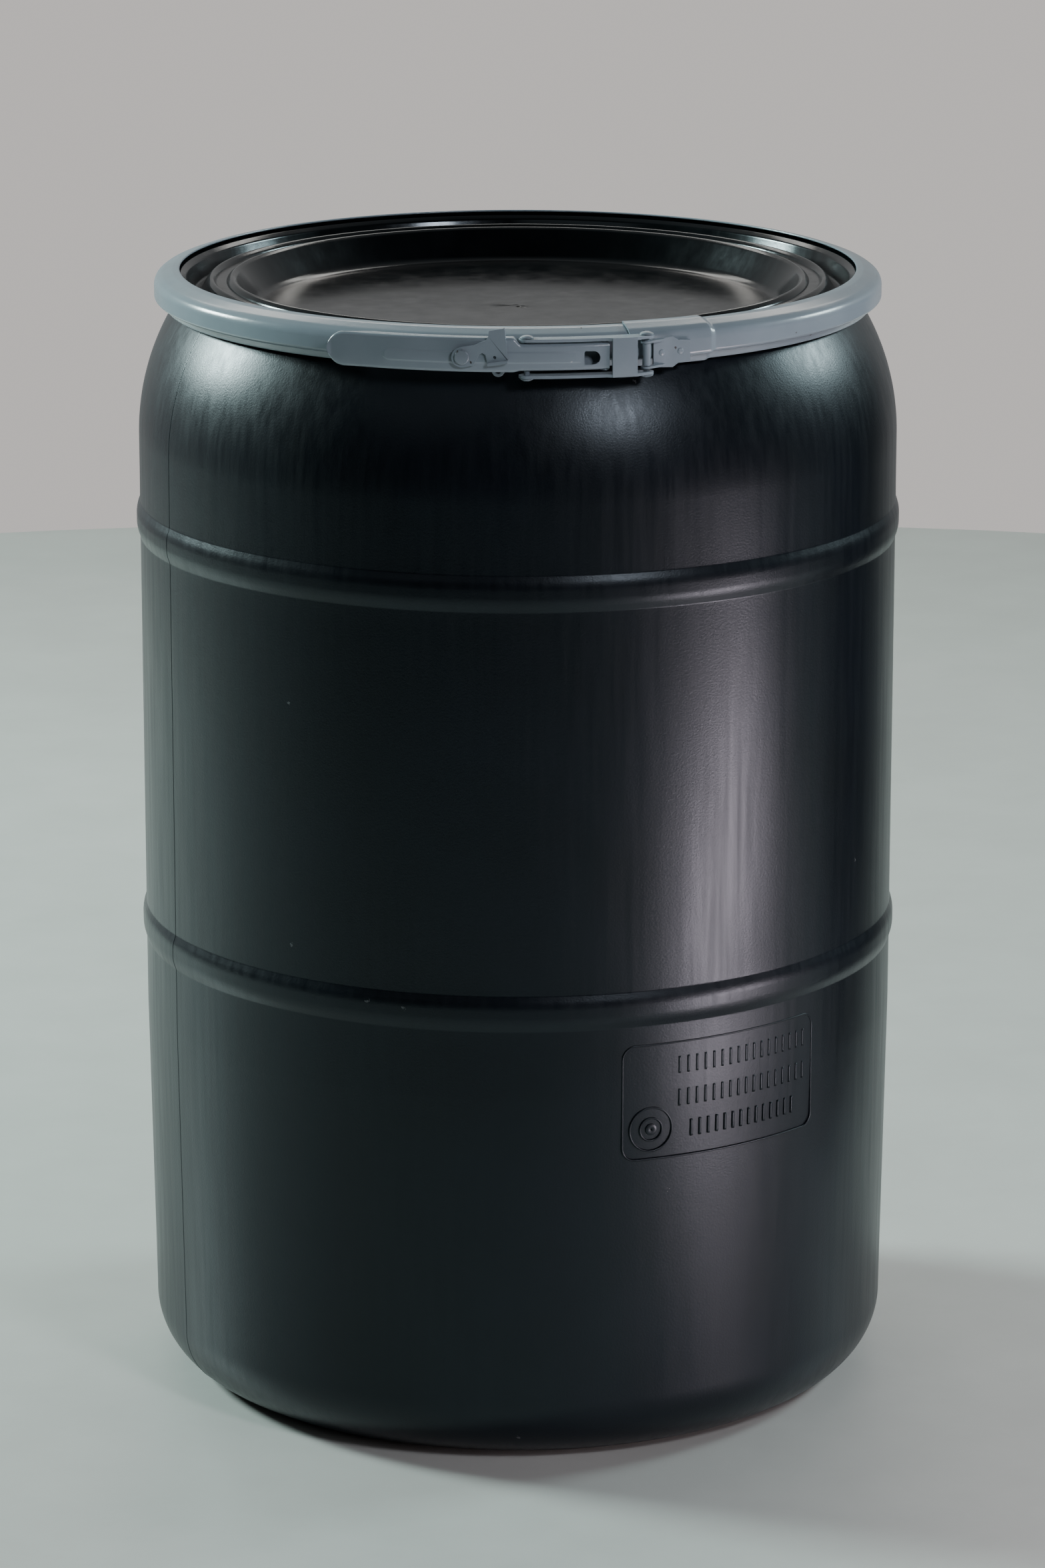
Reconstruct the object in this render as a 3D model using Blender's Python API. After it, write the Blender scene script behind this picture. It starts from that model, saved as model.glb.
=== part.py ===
"""Open-head drum with a clamped lid, modelled as the separate pieces it is built from.

A blow-moulded plastic body stands on the floor.  A moulded lid with a gasket sits on its rim, and a
rolled steel band of C section clamps the lid down.  The band's two ends are drawn together by an
over-centre lever and a link, and a small safety latch on the lever keeps it shut.

Metres, +Z up, origin at the middle of the floor face.  The closure is at the front, which is -Y.
Places round the band are arc lengths along its outer face, measured from the front towards +X.
"""

import math

import bmesh
import bpy
from mathutils import Matrix, Vector

# ---------------------------------------------------------------- drum body
WALL_RADIUS = 0.2453          # outer radius of the straight wall
BODY_HEIGHT = 0.7220          # floor to the top of the rim
WALL = 0.0030                 # wall thickness
HOOP_PROUD = 0.0022           # rolling hoops stand this far out of the wall
HOOP_WIDTH = 0.0230
HOOP_EDGE = 0.0035            # height of each sloping edge of a hoop
LOWER_HOOP_Z = 0.3042
UPPER_HOOP_BELOW_RIM = 0.1498
TAPER_TOP_Z = 0.2490          # the wall draws in below this height
FOOT_DRAW = 0.0033            # how far it has drawn in at the foot
FOOT_ARC = 0.0450             # radius of the corner between wall and base
STAND_WIDTH = 0.0250          # width of the flat ring the drum stands on
DISH = 0.0040                 # the base is raised this far inside that ring
SHOULDER_ARC = 0.1535         # radius of the rounded shoulder
NECK_INSET = 0.0268           # wall radius less neck radius
NECK_HEIGHT = 0.0034
RIM_OVERHANG = 0.0095         # the rim flange stands this far out of the neck
RIM_DEPTH = 0.0055
RIM_EDGE = 0.0010             # bevel of the rim's top edges

# ---------------------------------------------------------------- lid and gasket
GASKET_DEPTH = 0.0035
PIECE_GAP = 0.0003            # pieces that rest on each other
SKIRT_GAP = 0.0004            # lid skirt to rim flange
SKIRT = 0.0032                # thickness of the lid's skirt
SKIRT_DROP = 0.0035           # the skirt's lower edge is this far below the rim's top
LID_FLANGE = 0.0044           # thickness of the lid over the gasket
LID_WALL = 0.0030
PLUG_GAP = 0.0007             # lid plug to the neck's bore
GROOVE_DEPTH = 0.0058         # lid's groove floor below the rim's top
GROOVE_FLOOR = 0.0040         # width of the groove's flat floor
RIB_PITCH = 0.0130            # between the two ribs' middles
RIB_CREST = 0.0040            # width of each crest
RIB_TOP = 0.0057              # crests above the rim's top
VALLEY_DROP = 0.0067          # valley between the ribs, below their crests
PANEL_DROP = 0.0146           # centre panel below the rim's top
PANEL_SLOPE = 0.0140          # run of the slope from the inner rib to the panel

# ---------------------------------------------------------------- clamping band
BAND_SHEET = 0.0012
BAND_GAP = 0.0012             # band to lid skirt
LIP_REACH = 0.0148            # upper leg, from the wall's inner face to its inner lip
LIP_RISE = 0.0019             # the inner lip above the lid's flange
HOOK_REACH = 0.0073           # lower leg, the same way
HOOK_DROP = 0.0063            # lower leg's edge below the rim flange
SOCKET_START = 0.0694         # the right end is widened to take the left end's tongue
SOCKET_END = 0.1230
JOGGLE = 0.0052               # length of the step from the socket back to the plain section
TONGUE_END = 0.1021
FLEX_ANGLE = math.radians(150)   # the band springs open about these two places at the back

# ---------------------------------------------------------------- closure
PIN_RADIUS = 0.00175
PIN_CLEARANCE = 0.0003
RIVET_RADIUS = 0.0018
RIVET_UPSET = 0.0008          # the upset tail is this much wider than the shank
RIVET_HEAD = 0.00435
HEAD_HEIGHT = 0.0018
LEVER_SHEET = 0.0014
LEVER_BELOW_RIM = 0.0018      # middle of the grip part, below the top of the rim
LEVER_HEIGHT = 0.0213         # grip part
LEVER_NOSE_HEIGHT = 0.0164    # part between the link's arms
LEVER_NOSE_BELOW_RIM = 0.0033
LEVER_TIP = -0.1152
LEVER_STEP = -0.0008          # where the grip part ends
FULCRUM = 0.0520              # pin that joins the lever to the left end of the band
FULCRUM_STANDOFF = 0.0053     # its distance from the band's outer face
NOSE_LENGTH = 0.0021          # lever face past the fulcrum
NOSE_ROUND = 0.0042           # rounded ends of the lever's flanges
FLANGE_STANDOFF = 0.0021      # lever's flanges to the band's outer face
STIFFENER_HEIGHT = 0.00045
STIFFENER_WIDTH = 0.0064
TAB_FLARE = 0.0016            # the thumb tab bends outwards
SLOT_START = 0.0389
SLOT_LENGTH = 0.0098
SLOT_HEIGHT = 0.0084
SLOT_BELOW_RIM = 0.0040
LINK_SHEET = 0.0018
ARM_OVER_LEVER = 0.0013       # upper arm to the lever's nose
ARM_UNDER_LEVER = 0.0029      # lower arm to the lever's nose
LINK_PIVOT = 0.0055           # rivets that join the link to the lever
LINK_END = 0.0780             # pin that joins the link to the right bracket
ARM_ROUND = 0.0050            # rounded ends of the link's arms
ARM_INNER = 0.0016            # arms' inner edge to the band's outer face
BRIDGE_START = 0.0553
BRIDGE_LENGTH = 0.0149
BRIDGE_FACE = 0.0126          # bridge's outer face to the band's outer face
BRACKET_SHEET = 0.0014
EYE_WALL = 0.00105            # left bracket's ears round the fulcrum pin
LEFT_PLATE_LENGTH = 0.0190
KNUCKLE_WALL = 0.00085        # hinge barrel outside the pin
RIGHT_PLATE_START = 0.0830
RIGHT_PLATE_PEAK = 0.0960
RIGHT_PLATE_END = 0.1078
RIGHT_EAR_ROUND = 0.0036
RIGHT_EARS_GAP = 0.0032       # ears' height, less than the space between the link's arms
RIGHT_PEAK_GAP = 0.0016       # the plate's points, the same way
RIGHT_PLATE_HEIGHT = 0.0132
LATCH_SHEET = 0.0011
LATCH_PIVOT = -0.0324
LATCH_BELOW_RIM = 0.0029
LATCH_FACE_ARC = -0.0212      # the latch plate is flat and square to the radius here
LATCH_GAP = 0.00035           # plate to the lever's stiffener
LATCH_ROUND = 0.0063
LATCH_HOLE = 0.00095
LIP_OUT = 0.0012              # finger lip stands out of the plate
RETURN_BACK = 0.0040          # the flag's right edge is folded back
SEAL_EYE_ARC = -0.0117
SEAL_EYE_BELOW_RIM = 0.0126
SEAL_EYE_RADIUS = 0.0040
SEAL_EYE_HOLE = 0.0020
SEAL_EYE_ABOVE_RIM = 0.0015   # top of its plate

CUT_PAST = 0.0030             # cutters reach this far past the faces they cut
STEPS = 60                    # facets in a full turn
SOCKET_SPLIT = 3              # the band's facets are divided by this at its lap joint
PIN_STEPS = 16

# ---------------------------------------------------------------- worked out from the above
NECK_RADIUS = WALL_RADIUS - NECK_INSET
NECK_BORE = NECK_RADIUS - WALL
RIM_RADIUS = NECK_RADIUS + RIM_OVERHANG
RIM_UNDER = BODY_HEIGHT - RIM_DEPTH
SKIRT_INNER = RIM_RADIUS + SKIRT_GAP
SKIRT_OUTER = SKIRT_INNER + SKIRT
LID_UNDER = BODY_HEIGHT + GASKET_DEPTH + 2 * PIECE_GAP
LID_TOP = LID_UNDER + LID_FLANGE
BAND_INNER = SKIRT_OUTER + BAND_GAP
BAND_RADIUS = BAND_INNER + BAND_SHEET
LEVER_MID_Z = BODY_HEIGHT - LEVER_BELOW_RIM
LEVER_NOSE_MID_Z = BODY_HEIGHT - LEVER_NOSE_BELOW_RIM
NOSE_TOP = LEVER_NOSE_MID_Z + LEVER_NOSE_HEIGHT / 2
NOSE_BOTTOM = LEVER_NOSE_MID_Z - LEVER_NOSE_HEIGHT / 2
SLOT_MID_Z = BODY_HEIGHT - SLOT_BELOW_RIM
EYE_RADIUS = PIN_RADIUS + EYE_WALL
KNUCKLE_RADIUS = PIN_RADIUS + KNUCKLE_WALL
FACE_STANDOFF = EYE_RADIUS + PIECE_GAP
LINK_STANDOFF = FULCRUM_STANDOFF + FACE_STANDOFF - RIVET_RADIUS - RIVET_UPSET - PIECE_GAP
LINK_TOP = NOSE_TOP + ARM_OVER_LEVER + LINK_SHEET
LINK_BOTTOM = NOSE_BOTTOM - ARM_UNDER_LEVER - LINK_SHEET
ARMS_INSIDE = LINK_TOP - LINK_BOTTOM - 2 * LINK_SHEET
RIGHT_MID_Z = (LINK_TOP + LINK_BOTTOM) / 2 - 0.0002
RIGHT_EARS_HEIGHT = ARMS_INSIDE - RIGHT_EARS_GAP
RIGHT_PEAK_HEIGHT = ARMS_INSIDE - RIGHT_PEAK_GAP
LEFT_PLATE_HEIGHT = LEVER_NOSE_HEIGHT - 2 * LEVER_SHEET - 2 * PIECE_GAP
LATCH_STANDOFF = FULCRUM_STANDOFF + FACE_STANDOFF + LEVER_SHEET + STIFFENER_HEIGHT + LATCH_GAP
LATCH_PIVOT_Z = BODY_HEIGHT - LATCH_BELOW_RIM
SEAL_EYE_Z = BODY_HEIGHT - SEAL_EYE_BELOW_RIM
SEAL_EYE_TOP = BODY_HEIGHT + SEAL_EYE_ABOVE_RIM
FULCRUM_RADIUS = BAND_RADIUS + FULCRUM_STANDOFF
FACE_INNER = FULCRUM_RADIUS + FACE_STANDOFF
FACE_OUTER = FACE_INNER + LEVER_SHEET
LINK_RADIUS = BAND_RADIUS + LINK_STANDOFF
BRIDGE_OUTER = BAND_RADIUS + BRIDGE_FACE
SOCKET_LIFT = BAND_SHEET + PIECE_GAP

# ---------------------------------------------------------------- materials

def finish(name, colour, roughness, metallic):
    """A plain material for the pieces of one kind."""
    material = bpy.data.materials.new(name)
    material.use_nodes = True
    shader = material.node_tree.nodes["Principled BSDF"]
    shader.inputs["Base Color"].default_value = (*colour, 1.0)
    shader.inputs["Roughness"].default_value = roughness
    shader.inputs["Metallic"].default_value = metallic
    return material


# ---------------------------------------------------------------- modelling helpers

def clear_scene():
    """Remove the objects that a new file starts with."""
    for old in list(bpy.data.objects):
        bpy.data.objects.remove(old, do_unlink=True)


def new_object(name, mesh, material=None):
    """Put a mesh in the scene as a named object, shaded smooth with its edges kept sharp."""
    thing = bpy.data.objects.new(name, mesh)
    bpy.context.scene.collection.objects.link(thing)
    if material is not None:
        mesh.materials.append(material)
    mesh.shade_smooth()
    mesh.set_sharp_from_angle(angle=math.radians(30))
    return thing


def mesh_from(bm, name):
    """Turn a bmesh into a mesh with its faces pointing out."""
    bmesh.ops.recalc_face_normals(bm, faces=bm.faces)
    mesh = bpy.data.meshes.new(name)
    bm.to_mesh(mesh)
    bm.free()
    return mesh


def turned(name, profile, material, at=(0.0, 0.0), steps=STEPS):
    """Turn a profile of (radius, height) points about a vertical axis that stands at the given x, y.

    A profile that starts and ends on the axis makes a solid; any other is closed into a ring.
    """
    bm = bmesh.new()
    points = [bm.verts.new((0.0, -radius, height)) for radius, height in profile]
    edges = [bm.edges.new(pair) for pair in zip(points, points[1:])]
    on_axis = profile[0][0] == 0.0 and profile[-1][0] == 0.0
    if not on_axis:
        edges.append(bm.edges.new((points[-1], points[0])))
    bmesh.ops.spin(bm, geom=points + edges, cent=(0, 0, 0), axis=(0, 0, 1), angle=2 * math.pi,
                   steps=steps, use_merge=True)
    bmesh.ops.remove_doubles(bm, verts=bm.verts, dist=1e-6)
    piece = new_object(name, mesh_from(bm, name), material)
    piece.location = (at[0], at[1], 0.0)
    return piece


def loft(name, rings, material):
    """Join equal closed rings of points into one solid, with a flat cap at each end."""
    bm = bmesh.new()
    made = [[bm.verts.new(point) for point in ring] for ring in rings]
    for first, second in zip(made, made[1:]):
        for i in range(len(first)):
            j = (i + 1) % len(first)
            bm.faces.new((first[i], first[j], second[j], second[i]))
    bm.faces.new(made[0])
    bm.faces.new(made[-1])
    return new_object(name, mesh_from(bm, name), material)


def plan_prism(name, outline, low, high, material=None):
    """Extrude a plan outline of (x, y) points from one height to another."""
    rings = [[(x, y, z) for x, y in outline] for z in (low, high)]
    return loft(name, rings, material)


def face_prism(name, arc, outline, inner, outer, material=None):
    """Extrude an outline of (along, height) points outwards, square to the radius at a place on the band.

    inner and outer are the distances of its two faces from the drum's axis.
    """
    rings = [[(along, -out, height) for along, height in outline] for out in (inner, outer)]
    piece = loft(name, rings, material)
    piece.rotation_euler.z = angle_at(arc)
    return piece


def rod(name, radius, low, high, at, material=None, steps=PIN_STEPS):
    """A round bar standing at x, y."""
    profile = [(0.0, high), (radius, high), (radius, low), (0.0, low)]
    return turned(name, profile, material, at, steps)


def hide_helper(helper):
    """Mark an object as a tool for a Boolean and not a piece of the drum."""
    helper.hide_render = True
    helper.display_type = "WIRE"
    return helper


def combine(piece, helper, operation):
    """Add a helper's shape to a piece, or cut it away."""
    modifier = piece.modifiers.new(operation.title(), "BOOLEAN")
    modifier.operation = operation
    modifier.object = hide_helper(helper)
    modifier.solver = "EXACT"


def angle_at(arc):
    """The angle round the drum of a place on the band, from the front towards +X."""
    return arc / BAND_RADIUS


def polar(radius, angle):
    """The plan point at a radius and an angle from the front."""
    return radius * math.sin(angle), -radius * math.cos(angle)


def place(radius, arc):
    """The plan point at a radius, at a place on the band."""
    return polar(radius, angle_at(arc))


def round_end(centre, radius, first, last, count):
    """Plan points on part of a circle, the angles in degrees from +X."""
    points = []
    for i in range(count + 1):
        turn = math.radians(first + (last - first) * i / count)
        points.append((centre[0] + radius * math.cos(turn), centre[1] + radius * math.sin(turn)))
    return points


def offset(path, distance):
    """Move an open path of (radius, height) points to its left by a distance, mitring its corners."""
    points = [Vector(p) for p in path]
    normals = []
    for a, b in zip(points, points[1:]):
        run = (b - a).normalized()
        normals.append(Vector((-run.y, run.x)))
    moved = []
    for i, point in enumerate(points):
        before = normals[max(i - 1, 0)]
        after = normals[min(i, len(normals) - 1)]
        middle = (before + after).normalized()
        moved.append(tuple(point + middle * (distance / middle.dot(after))))
    return moved


def arc_points(centre, radius, first, last, count):
    """Profile points on part of a circle, the angles in degrees, both ends included."""
    return round_end(centre, radius, first, last, count)


# ---------------------------------------------------------------- drum body

def hoop(middle):
    """The outline of one rolling hoop, going up."""
    low, high = middle - HOOP_WIDTH / 2, middle + HOOP_WIDTH / 2
    top = WALL_RADIUS + HOOP_PROUD
    crisp = HOOP_EDGE / 2     # the upper edge is the sharper one
    return [(WALL_RADIUS, low), (top, low + HOOP_EDGE), (top, high - crisp), (WALL_RADIUS, high)]


def make_drum_body(material):
    """The blow-moulded body: dished base, two hoops, rounded shoulder, short neck and rim flange."""
    foot_radius = WALL_RADIUS - FOOT_DRAW
    foot_centre = (foot_radius - FOOT_ARC, FOOT_ARC)
    stand_inner = foot_centre[0] - STAND_WIDTH
    dish_edge = stand_inner - 2 * DISH
    shoulder_r = WALL_RADIUS - SHOULDER_ARC
    neck_base = RIM_UNDER - NECK_HEIGHT
    shoulder_rise = math.sqrt(SHOULDER_ARC**2 - (NECK_RADIUS - shoulder_r) ** 2)
    shoulder_centre = (shoulder_r, neck_base - shoulder_rise)
    sweep = math.degrees(math.asin(shoulder_rise / SHOULDER_ARC))
    inner_sweep = math.degrees(math.acos((NECK_BORE - shoulder_r) / (SHOULDER_ARC - WALL)))
    outer = [(0.0, DISH), (dish_edge, DISH), (stand_inner, 0.0)]
    outer += arc_points(foot_centre, FOOT_ARC, -90, 0, 3)
    outer += [(WALL_RADIUS, TAPER_TOP_Z)]
    outer += hoop(LOWER_HOOP_Z) + hoop(BODY_HEIGHT - UPPER_HOOP_BELOW_RIM)
    outer += arc_points(shoulder_centre, SHOULDER_ARC, 0, sweep, 3)
    outer += [(RIM_RADIUS, RIM_UNDER), (RIM_RADIUS, BODY_HEIGHT - RIM_EDGE)]
    outer += [(RIM_RADIUS - RIM_EDGE, BODY_HEIGHT), (NECK_BORE + RIM_EDGE, BODY_HEIGHT)]
    inner = [(NECK_BORE, BODY_HEIGHT - RIM_EDGE)]
    inner += arc_points(shoulder_centre, SHOULDER_ARC - WALL, inner_sweep, 0, 3)
    inner += [(WALL_RADIUS - WALL, TAPER_TOP_Z)]
    inner += arc_points(foot_centre, FOOT_ARC - WALL, 0, -90, 3)
    inner += [(stand_inner, WALL), (dish_edge, DISH + WALL), (0.0, DISH + WALL)]
    return turned("drum_body", outer + inner, material)


# ---------------------------------------------------------------- lid and gasket

def make_gasket(material):
    """The flat ring between the rim and the lid."""
    low = BODY_HEIGHT + PIECE_GAP
    inner, outer = NECK_BORE + PIECE_GAP, RIM_RADIUS - RIM_EDGE
    profile = [(inner, low + GASKET_DEPTH), (outer, low + GASKET_DEPTH), (outer, low), (inner, low)]
    return turned("gasket", profile, material)


def make_lid(material):
    """The moulded lid: flat panel, two ribs, a groove, and a flange with a skirt over the rim."""
    plug = NECK_BORE - PLUG_GAP
    groove_out = plug - 0.0053
    groove_in = groove_out - GROOVE_FLOOR
    outer_rib = groove_in - 0.0085
    inner_rib = outer_rib - RIB_PITCH
    half = RIB_CREST / 2
    crest = BODY_HEIGHT + RIB_TOP
    groove_z = BODY_HEIGHT - GROOVE_DEPTH
    panel_z = BODY_HEIGHT - PANEL_DROP
    panel_radius = inner_rib - half - PANEL_SLOPE
    top = [
        (0.0, panel_z),
        (panel_radius, panel_z),
        (inner_rib - half, crest),
        (inner_rib + half, crest),
        ((inner_rib + outer_rib) / 2, crest - VALLEY_DROP),
        (outer_rib - half, crest),
        (outer_rib + half, crest),
        (groove_in, groove_z),
        (groove_out, groove_z),
        (plug - 0.0018, LID_TOP - 0.0025),
        (plug + 0.0017, LID_TOP),
        (SKIRT_OUTER - 0.0031, LID_TOP - 0.0023),
        (SKIRT_OUTER, LID_TOP - 0.0060),
        (SKIRT_OUTER, BODY_HEIGHT - SKIRT_DROP),
    ]
    under = [
        (SKIRT_INNER, BODY_HEIGHT - SKIRT_DROP),
        (SKIRT_INNER, LID_UNDER),
        (plug, LID_UNDER),
        (groove_out + LID_WALL, groove_z - LID_WALL),
        (groove_in - 0.0025, groove_z - LID_WALL),
        (outer_rib, crest - VALLEY_DROP - LID_WALL / 2),
        (inner_rib, crest - VALLEY_DROP - LID_WALL / 2),
        (panel_radius + 0.0015, panel_z - LID_WALL),
        (0.0, panel_z - LID_WALL),
    ]
    return turned("lid", top + under, material)


# ---------------------------------------------------------------- clamping band

def band_path():
    """The inner face of the band's section, from its inner lip down to the edge of its lower leg."""
    return [
        (BAND_INNER - LIP_REACH, LID_TOP + LIP_RISE),
        (BAND_INNER - 0.0108, LID_TOP + 0.0013),
        (BAND_INNER - 0.0042, LID_TOP - 0.0010),
        (BAND_INNER - 0.0011, LID_TOP - 0.0032),
        (BAND_INNER, LID_TOP - 0.0059),
        (BAND_INNER, RIM_UNDER + 0.0002),
        (BAND_INNER - 0.0006, RIM_UNDER - 0.0005),
        (BAND_INNER - 0.0052, RIM_UNDER - 0.0018),
        (BAND_INNER - HOOK_REACH, RIM_UNDER - HOOK_DROP),
    ]


def band_section(lift):
    """The band's closed section, with its sheet moved outwards by lift."""
    return offset(band_path(), lift) + offset(band_path(), lift + BAND_SHEET)[::-1]


def make_band_piece(name, stations, material):
    """A length of band through stations of (angle, lift), filled in at the drum's own facets.

    Where the tongue lies in the socket the facets are a third as long, so that the two stay parallel.
    """
    facet = 2 * math.pi / STEPS / SOCKET_SPLIT
    lap = (angle_at(SOCKET_START - JOGGLE), angle_at(SOCKET_END + JOGGLE))
    turns = STEPS * SOCKET_SPLIT
    corners = [i * facet for i in range(-turns, turns)
               if i % SOCKET_SPLIT == 0 or lap[0] < i * facet < lap[1]]
    rings = []
    for (start, lift_a), (end, lift_b) in zip(stations, stations[1:]):
        margin = 0.2 * facet
        for angle in [start] + [corner for corner in corners if start + margin < corner < end - margin]:
            share = (angle - start) / (end - start)
            rings.append((angle, lift_a + (lift_b - lift_a) * share))
    rings.append(stations[-1])
    solid = [[(*polar(r, angle), z) for r, z in band_section(lift)] for angle, lift in rings]
    return loft(name, solid, material)


def make_band(material):
    """The steel band, in the three lengths that move apart when it springs open."""
    split = PIECE_GAP / 2 / BAND_RADIUS
    back = make_band_piece("ring_band_back", [
        (FLEX_ANGLE + split, 0.0),
        (2 * math.pi - FLEX_ANGLE - split, 0.0),
    ], material)
    left = make_band_piece("ring_band_left", [
        (-FLEX_ANGLE + split, 0.0),
        (angle_at(TONGUE_END), 0.0),
    ], material)
    right = make_band_piece("ring_band_right", [
        (angle_at(SOCKET_START), SOCKET_LIFT),
        (angle_at(SOCKET_END), SOCKET_LIFT),
        (angle_at(SOCKET_END + JOGGLE), 0.0),
        (FLEX_ANGLE - split, 0.0),
    ], material)
    return back, left, right


# ---------------------------------------------------------------- brackets and small pieces on the band

def make_left_bracket(material):
    """A plate welded to the band under the lever, with two ears that hold the fulcrum pin."""
    middle = FULCRUM - LEFT_PLATE_LENGTH / 2
    turn = angle_at(FULCRUM) - angle_at(middle)
    pin = (FULCRUM_RADIUS * math.sin(turn), FULCRUM_RADIUS * math.cos(turn))
    inner, outer = BAND_RADIUS + PIECE_GAP, BAND_RADIUS + PIECE_GAP + BRACKET_SHEET - 0.0003
    left, right = pin[0] - LEFT_PLATE_LENGTH, pin[0] - 0.0010
    low, high = LEVER_NOSE_MID_Z - LEFT_PLATE_HEIGHT / 2, LEVER_NOSE_MID_Z + LEFT_PLATE_HEIGHT / 2
    plate = [(left, low), (right, low), (right, high), (left, high)]
    bracket = face_prism("left_bracket", middle, plate, inner, outer, material)
    ear = round_end((pin[0], -pin[1]), EYE_RADIUS, -135, 60, 9)
    ear += [(right - 0.0002, -inner - 0.0002), (right - 0.0065, -inner - 0.0002)]
    for side, base in (("lower", low + 0.0002), ("upper", high - 0.0002 - BRACKET_SHEET)):
        helper = plan_prism("left_ear_" + side, ear, base, base + BRACKET_SHEET)
        helper.rotation_euler.z = angle_at(middle)
        combine(bracket, helper, "UNION")
    hole = rod("left_ear_hole", PIN_RADIUS + PIN_CLEARANCE, low - 0.01, high + 0.01,
               place(FULCRUM_RADIUS, FULCRUM))
    combine(bracket, hole, "DIFFERENCE")
    return bracket


def make_right_bracket(material):
    """A plate welded to the socket, with two ears that hold the link's pin."""
    middle = RIGHT_PLATE_PEAK
    turn = angle_at(LINK_END) - angle_at(middle)
    pin = (LINK_RADIUS * math.sin(turn), LINK_RADIUS * math.cos(turn))
    inner = BAND_RADIUS + SOCKET_LIFT + PIECE_GAP
    outer = inner + BRACKET_SHEET
    start, end = RIGHT_PLATE_START - middle, RIGHT_PLATE_END - middle
    ears, peak, plain = RIGHT_EARS_HEIGHT / 2, RIGHT_PEAK_HEIGHT / 2, RIGHT_PLATE_HEIGHT / 2
    slope = 0.0035
    upper = [(end, plain), (slope, plain + 0.0006), (0.0, peak), (start, ears)]
    outline = [(x, RIGHT_MID_Z - z) for x, z in reversed(upper)] + [(x, RIGHT_MID_Z + z) for x, z in upper]
    bracket = face_prism("right_bracket", middle, outline, inner, outer, material)
    ear = round_end((pin[0], -pin[1]), RIGHT_EAR_ROUND, 80, 270, 9)
    ear += [(start + 0.0090, -outer + 0.0004), (start + 0.0090, -inner - 0.0002)]
    ear += [(start + 0.0006, -inner - 0.0002)]
    reach = ears - 0.0002
    for side, base in (("lower", RIGHT_MID_Z - reach), ("upper", RIGHT_MID_Z + reach - BRACKET_SHEET)):
        helper = plan_prism("right_ear_" + side, ear, base, base + BRACKET_SHEET)
        helper.rotation_euler.z = angle_at(middle)
        combine(bracket, helper, "UNION")
    hole = rod("right_ear_hole", PIN_RADIUS + PIN_CLEARANCE, RIGHT_MID_Z - 0.02, RIGHT_MID_Z + 0.02,
               place(LINK_RADIUS, LINK_END))
    combine(bracket, hole, "DIFFERENCE")
    return bracket


def make_hinge_barrel(material):
    """The tube between the right bracket's ears."""
    half = RIGHT_EARS_HEIGHT / 2 - BRACKET_SHEET - 0.0002 - PIECE_GAP
    low, high = RIGHT_MID_Z - half, RIGHT_MID_Z + half
    bore = PIN_RADIUS + PIN_CLEARANCE
    profile = [(bore, high), (KNUCKLE_RADIUS, high), (KNUCKLE_RADIUS, low), (bore, low)]
    return turned("hinge_barrel", profile, material, place(LINK_RADIUS, LINK_END), PIN_STEPS)


def make_hinge_pin(material):
    """The pin in the right bracket, ending just short of the link's arms."""
    low, high = LINK_BOTTOM + LINK_SHEET + PIECE_GAP, LINK_TOP - LINK_SHEET - PIECE_GAP
    return rod("hinge_pin", PIN_RADIUS, low, high, place(LINK_RADIUS, LINK_END), material)


def make_seal_eye(material):
    """A small plate on the band with an eye for a seal wire, below the lever."""
    middle = SEAL_EYE_ARC
    outline = [(SEAL_EYE_RADIUS, SEAL_EYE_TOP), (-SEAL_EYE_RADIUS, SEAL_EYE_TOP)]
    outline += round_end((0.0, SEAL_EYE_Z), SEAL_EYE_RADIUS, 180, 360, 8)
    inner = BAND_RADIUS + PIECE_GAP
    eye = face_prism("seal_eye", middle, outline, inner, inner + BRACKET_SHEET, material)
    cut = round_end((0.0, SEAL_EYE_Z), SEAL_EYE_HOLE, 0, 330, 11)
    hole = face_prism("seal_eye_hole", middle, cut, inner - 0.01, inner + 0.01)
    combine(eye, hole, "DIFFERENCE")
    return eye


# ---------------------------------------------------------------- lever

def lever_section(arc, height, middle, flange, stiffener, flare):
    """One closed section of the lever's channel, as points in space."""
    angle = angle_at(arc)
    top, bottom = middle + height / 2, middle - height / 2
    sheet = min(LEVER_SHEET, 0.42 * height)
    half = min(STIFFENER_WIDTH / 2, 0.2 * height)
    shoulder = 0.8 * half
    outer, inner = FACE_OUTER + flare, FACE_INNER + flare
    flange += flare
    section = [
        (outer, bottom),
        (outer, middle - half),
        (outer + stiffener, middle - shoulder),
        (outer + stiffener, middle + shoulder),
        (outer, middle + half),
        (outer, top),
        (flange, top),
        (flange, top - sheet),
        (inner, top - sheet),
        (inner, bottom + sheet),
        (flange, bottom + sheet),
        (flange, bottom),
    ]
    return [(*polar(r, angle), z) for r, z in section]


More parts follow.
